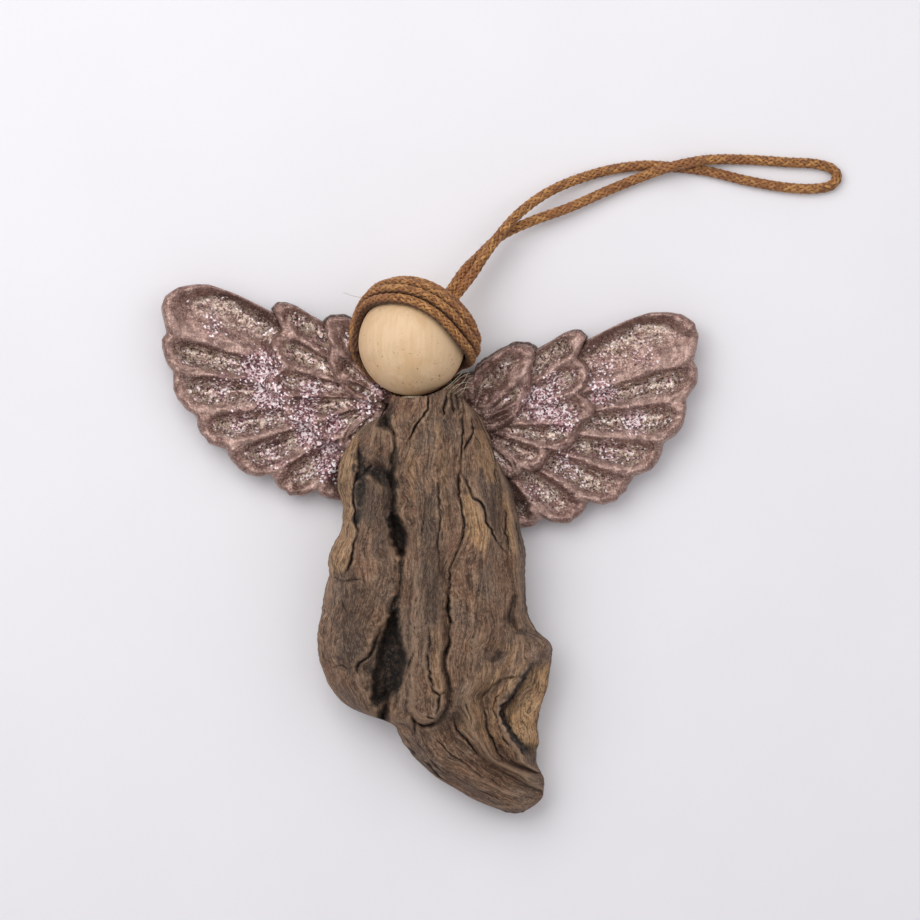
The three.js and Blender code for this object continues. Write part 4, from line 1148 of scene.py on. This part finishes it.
def grain_place(x, y, left, right):
    """The grain's own coordinate across the wood, along the guides, and how far across a lobe it is."""
    lines = [left]
    for guide in GRAIN_GUIDES:
        lines.append(np.maximum(along_guide(guide, y), lines[-1] + 0.05))
    lines.append(np.maximum(right, lines[-1] + 0.05))
    grain = np.zeros(x.shape)
    share = np.zeros(x.shape)
    for low, high, start, end in zip(lines, lines[1:], GRAIN_STARTS, GRAIN_STARTS[1:]):
        here = (x >= low) & (x <= high)
        grain = np.where(here, start + (end - start) * (x - low) / (high - low), grain)
        top = np.minimum(high, right)
        share = np.where(here, np.clip((x - low) / np.maximum(top - low, 0.05), 0, 1), share)
    return grain, share


def raise_mark(marks, name, values):
    """Raise one of the wood's marks to values that are higher."""
    marks[name] = np.maximum(marks[name], values)


def cut_cracks(x, y, wx, wy, height, marks):
    """Cut the cracks into the wood: uneven, broken in places and thin at their ends."""
    for number, (crack, half, depth) in enumerate(CRACKS):
        gap, place = route_place(crack, wx, wy)
        taper = smoothstep(place, -0.3, min(2.2, 0.5 * place.max()))
        uneven = noise(x / 1.1 + 9 * number, y / 1.1 + 5, 18)
        broken = smoothstep(noise(x / 2.2 + 7 * number, y / 2.2 + 8, 19), 0.18, 0.5)
        width = half * (0.32 + 0.75 * uneven) * (0.4 + 0.6 * taper)
        strength = taper * (0.3 + 0.7 * broken)
        height -= 1.3 * depth * strength * np.exp(-(gap / width) ** 2)
        height += 0.25 * depth * np.exp(-((gap - 2.4 * half) / (1.7 * half)) ** 2)
        # Painted shade in and beside the crack.
        raise_mark(marks, "painted_recess_shade", 0.4 * strength * np.exp(-(gap / (1.6 * width)) ** 2))
        # How far from the crack's middle, in widths of its line of painted shade.
        line = 0.03 + 0.34 * width * strength * min(1.2, 0.3 + depth)
        marks["crack"] = np.minimum(marks["crack"], gap / line)


def cut_notch(x, y, wander, quiver, pits, height, marks):
    """Break the notch out at the right of the foot: a torn lip with painted shade along it, over a pale face.
    """
    beyond = x - along_guide(NOTCH_LIP, y)
    within = smoothstep(y, *NOTCH_LOW) * smoothstep(y, *NOTCH_HIGH)
    notch = smoothstep(beyond + 0.3 * quiver, -0.2, 0.6) * within
    height -= (NOTCH_DEPTH - NOTCH_SLOPE * np.clip(beyond, 0, 6)) * notch
    torn = beyond - 0.3 + 0.5 * quiver + 0.7 * pits
    lip = np.exp(-(torn / (0.3 + 0.6 * (wander + 0.5))) ** 2) * within
    # Painted shade under the lip.
    raise_mark(marks, "painted_recess_shade", 0.85 * lip)
    # The line of painted shade along the lip.
    edge_line = np.abs(torn) / (0.36 + 0.7 * np.maximum(wander, 0)) + 8 * (1 - within)
    marks["crack"] = np.minimum(marks["crack"], edge_line)
    marks["pale"] *= 1 - notch
    raise_mark(marks, "pale", notch * smoothstep(beyond + 0.8 * wander, 0.1, 0.9))


def driftwood_relief(x, y, left, right):
    """What folds, hollows, cracks and grain add to the wood's height, and its marks."""
    grain, share = grain_place(x, y, left, right)
    wander = ripple(x, y, 2.3, 2.3, 40, 11)
    quiver = ripple(x, y, 0.7, 0.7, 40, 12)
    pits = ripple(x, y, 0.4, 0.55, 40, 26)
    wx = x + 0.6 * wander + 0.35 * quiver
    wy = y + 0.6 * (noise(x / 2.3 + 70, y / 2.3 + 40, 13) - 0.5)
    height = LOBE_RISE * (1 - np.cos(2 * np.pi * share)) / 2 - LOBE_DIP
    height += ripple(x, y, 4.5, 6, 30, 14)
    height += RIDGE_RISE * smoothstep(y, *RIDGE_FADE) * smoothstep(hollow_inside(RIDGE, wx, wy), -0.4, 0.8)
    wobble = grain + 1.5 * ripple(x, y, 3, 5, 50, 15) + 0.5 * ripple(x, y, 1.2, 2, 50, 25)
    height += FOLD_RISE * ripple(wobble, y, 2.6, 15, 60, 27)
    ribs = ripple(wobble, y, 1.0, 5, 60, 16)
    fine = ripple(wobble, y, 0.42, 2.4, 60, 17)
    flow = np.exp(-((x - 12) / 5) ** 2 - ((y + 30) / 11) ** 2)
    height += (RIB_RISE + RIB_FLOW * flow) * ribs + FINE_RISE * fine
    height += QUIVER_RISE * quiver + PIT_RISE * pits
    marks = {name: np.zeros(x.shape) for name in ("char", "painted_recess_shade", "pale", "stain_and_shade")}
    marks["crack"] = np.full(x.shape, NO_CRACK)
    marks["grain"] = wobble
    for hollow, depth, burnt in HOLLOWS:
        inside = hollow_inside(hollow, wx, wy)
        height -= depth * smoothstep(inside, -0.35, 1.1)
        burn = smoothstep(inside + 1.1 * quiver + 1.7 * wander + 0.7 * pits, -0.8, 0.6)
        raise_mark(marks, "char", burnt * burn)
    cut_cracks(x, y, wx, wy, height, marks)
    for patch, strength in PALE_PATCHES:
        inside = hollow_inside(patch, wx, wy) + 0.6 * wander + 0.9 * ribs
        raise_mark(marks, "pale", strength * smoothstep(inside, -0.5, 0.6))
    for patch, strength in STAINS_AND_SHADE:
        inside = hollow_inside(patch, wx, wy) + 1.4 * wander + 1.2 * quiver + 0.8 * pits
        raise_mark(marks, "stain_and_shade", strength * smoothstep(inside, -0.9, 0.9))
    cut_notch(x, y, wander, quiver, pits, height, marks)
    strip = smoothstep(along_guide(LEFT_STRIP, y) - x, -0.1, 0.7)
    strip *= smoothstep(y, -6.2, -4.2) * smoothstep(y, 21.5, 19)
    height += STRIP_RISE * strip
    raise_mark(marks, "pale", STRIP_PALE * strip)
    marks["stain_and_shade"] *= 1 - strip
    knot = smoothstep(hollow_inside(KNOT, wx, wy) + 0.5 * quiver, -0.6, 0.6)
    height -= KNOT_DEPTH * knot
    raise_mark(marks, "stain_and_shade", KNOT_STAIN * knot)
    return height, marks


def under_head(x, y, z):
    """Lower the wood's top under the head, and keep it clear of the hair."""
    plan = head_plan(x, y)
    ball = HEAD_RADIUS / MM + 0.35
    z = np.where(plan < ball, np.minimum(z, ball_under(plan, ball)), z)
    offset = np.stack((x, y, z), axis=1) - HEAD_CENTRE / MM
    clear = HAIR_REACH + 0.2
    hidden = (offset @ CROWN > HAIR_LOWEST) & (np.linalg.norm(offset, axis=1) < clear)
    return np.where(hidden, np.minimum(z, np.maximum(ball_under(plan, clear), 0.4)), z)


def over_wings(x, y, z):
    """Lift the wood's back over the two wings and their glue."""
    for side, (root_x, root_y, root_z) in WING_ROOTS.items():
        out = side * (x - root_x) / math.cos(WING_TILT)
        seat = root_z + out * math.sin(WING_TILT) + WING_SEAT
        z = np.where(wing_inside(out, y - root_y, side) > -1.2, np.maximum(z, seat), z)
    return z


def standing_proud(values, column, row, reach):
    """How far values on a grid stand above their own mean over a square of places about each."""
    grid = np.zeros((column.max() + 1, row.max() + 1))
    grid[column, row] = values
    mean = grid
    shifts = range(-reach, reach + 1)
    for axis in (0, 1):
        lines = np.arange(grid.shape[axis])
        moved = (np.take(mean, np.clip(lines + shift, 0, lines[-1]), axis=axis) for shift in shifts)
        mean = sum(moved) / len(shifts)
    return values - mean[column, row]


def driftwood(material):
    """The driftwood body: a grid rolled between its two edges, folded, hollowed, cracked and worn."""
    form = new_form("grain", "along", "char", "painted_recess_shade", "pale", "stain_and_shade", "crack", "painted_relief_shading")
    corners, around, along = grid_corners(form, BODY_FRONT + BODY_BACK, BODY_ROWS)
    column = np.rint(around * (BODY_FRONT + BODY_BACK)).astype(int)
    row = np.rint(along * BODY_ROWS).astype(int)
    front = column <= BODY_FRONT
    even = np.where(front, column / BODY_FRONT, 1 - (column - BODY_FRONT) / BODY_BACK)
    share = 0.55 * (2 * even - 1) - 0.45 * np.cos(np.pi * even)
    y = NECK_END + (FOOT_END - NECK_END) * along
    ragged = 0.3 * (noise(y / 1.7, y * 0, 21) - 0.5) + 0.16 * (noise(y / 0.5, y * 0, 22) - 0.5)
    left = rounded_table(LEFT_EDGE, y, 1.0) + ragged
    right = rounded_table(RIGHT_EDGE, y, 1.0) - ragged
    x = (left + right) / 2 + (right - left) / 2 * share
    edge = along_table(EDGE_HEIGHT, y)
    rise = along_table(CROWN_HEIGHT, y) - edge
    dome = np.sqrt(np.clip(1 - np.abs(share) ** 3, 0, 1))
    relief, marks = driftwood_relief(x, y, left, right)
    top = edge + dome * np.maximum(rise + relief, 1.0)
    # How far the top stands above or below its surroundings, for painted light and shade.
    fine = standing_proud(top, column, row, 3) / 0.3
    broad = standing_proud(top, column, row, 10) / 0.9
    marks["painted_relief_shading"] = np.clip(0.9 * fine + 0.35 * broad, -1, 1) * front
    under = np.sqrt(np.clip(1 - np.abs(share) ** 4, 0, 1))
    rough = 0.5 * noise(x / 3 + 5, y / 5 + 5, 23) + 0.3 * noise(marks["grain"] / 0.8 + 5, y / 7 + 5, 24)
    back = np.maximum(edge - under * (edge + 1), 0) + np.minimum(rough, 0.6) * smoothstep(under, 0.2, 0.8)
    above = under_head(x, y, top)
    below = np.minimum(over_wings(x, y, back), above - 0.15 * (np.abs(share) < 1))
    z = np.where(front, np.maximum(above, 0.3), below)
    place_corners(corners, np.c_[x, y, z] * MM)
    for name, values in marks.items():
        marks[name] = values * np.where(front, 1, BACK_MARKS.get(name, BACK_MARK))
    mark(form, corners, along=y, **marks)
    piece = finished_piece("driftwood", form, material, "driftwood_body")
    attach(piece, "angel")


# The glue.

def glue_dab(name, node, centre, axis, radius, height, material, seed):
    """A rounded dab of set glue."""
    form = bmesh.new()
    corners = bmesh.ops.create_uvsphere(form, u_segments=40, v_segments=24, radius=1.0)["verts"]
    places = np.array([corner.co for corner in corners])
    uneven = 1 + 0.18 * (noise(places[:, 0] * 2 + 5, places[:, 1] * 2 + 7, seed) - 0.5)
    turn = Vector((0, 0, 1)).rotation_difference(Vector(axis)).to_matrix()
    shaped = places * np.array((radius, radius, height / 2)) * uneven[:, None]
    place_corners(corners, shaped @ np.array(turn).T + centre)
    piece = finished_piece(name, form, material, node)
    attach(piece, "angel")


def glue(material):
    """The four dabs of glue: at the neck, at the loop's root and under each wing."""
    neck = HEAD_CENTRE + NECK_GLUE_AXIS * NECK_GLUE_OUT - NECK_GLUE_DROP * UP
    glue_dab("neck_dab", "neck_glue", neck, NECK_GLUE_AXIS, *NECK_GLUE_SIZE, material, 1)
    root = HEAD_CENTRE + LOOP_ROOT * LOOP_GLUE_OUT
    glue_dab("loop_dab", "loop_glue", root, LOOP_ROOT, *LOOP_GLUE_SIZE, material, 2)
    for side, word in ((-1, "left"), (1, "right")):
        low, high = (np.array(corner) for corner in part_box(f"{word}_wing_glue"))
        middle = (low + high) / 2 - np.array((side * WING_GLUE_SHIFT, 0, 0))
        axis = (-side * math.sin(WING_TILT), 0, math.cos(WING_TILT))
        glue_dab(f"{word}_wing_dab", f"{word}_wing_glue", middle, axis, *WING_GLUE_SIZE, material,
                 3 + side)


def glue_threads(material):
    """The thin threads that the glue drew out at the neck."""
    form = bmesh.new()
    for route in GLUE_THREADS:
        thread(form, route, GLUE_THREAD_RADIUS)
    piece = finished_piece("neck_threads", form, material, None)
    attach(piece, "angel")


# The table, the light and the camera.

def stage():
    """A pale table under soft light from both sides, seen from straight above."""
    form = bmesh.new()
    bmesh.ops.create_grid(form, x_segments=8, y_segments=8, size=TABLE_HALF)
    table = placed("table", form, table_finish())
    for name, place, size, energy in SOFTBOXES:
        lamp = bpy.data.lights.new(name, "AREA")
        lamp.size = size
        lamp.energy = energy
        holder = bpy.data.objects.new(name, lamp)
        holder.location = place
        holder.rotation_euler = (-Vector(place)).to_track_quat("-Z", "Y").to_euler()
        bpy.context.collection.objects.link(holder)
    world = bpy.data.worlds.new("room")
    bpy.context.scene.world = world
    world.use_nodes = True
    sky = world.node_tree.nodes["Background"]
    sky.inputs["Color"].default_value = ROOM_COLOUR
    sky.inputs["Strength"].default_value = ROOM_STRENGTH
    lens = bpy.data.cameras.new("photograph")
    lens.lens = CAMERA_LENS
    lens.sensor_width = CAMERA_SENSOR
    lens.clip_start = 0.01
    lens.clip_end = 20
    camera = bpy.data.objects.new("photograph", lens)
    camera.location = CAMERA_PLACE
    bpy.context.collection.objects.link(camera)
    bpy.context.scene.camera = camera
    bpy.context.scene.view_settings.view_transform = "Standard"


stage()
cord_look = cord_finish()
hanging_loop(cord_look)
hair(cord_look)
head(head_finish())
wing_look = wing_finish()
wing("left_feathers", "left_wing", -1, wing_look)
wing("right_feathers", "right_wing", 1, wing_look)
driftwood(driftwood_finish())
glue_look = glue_finish()
glue(glue_look)
glue_threads(glue_look)
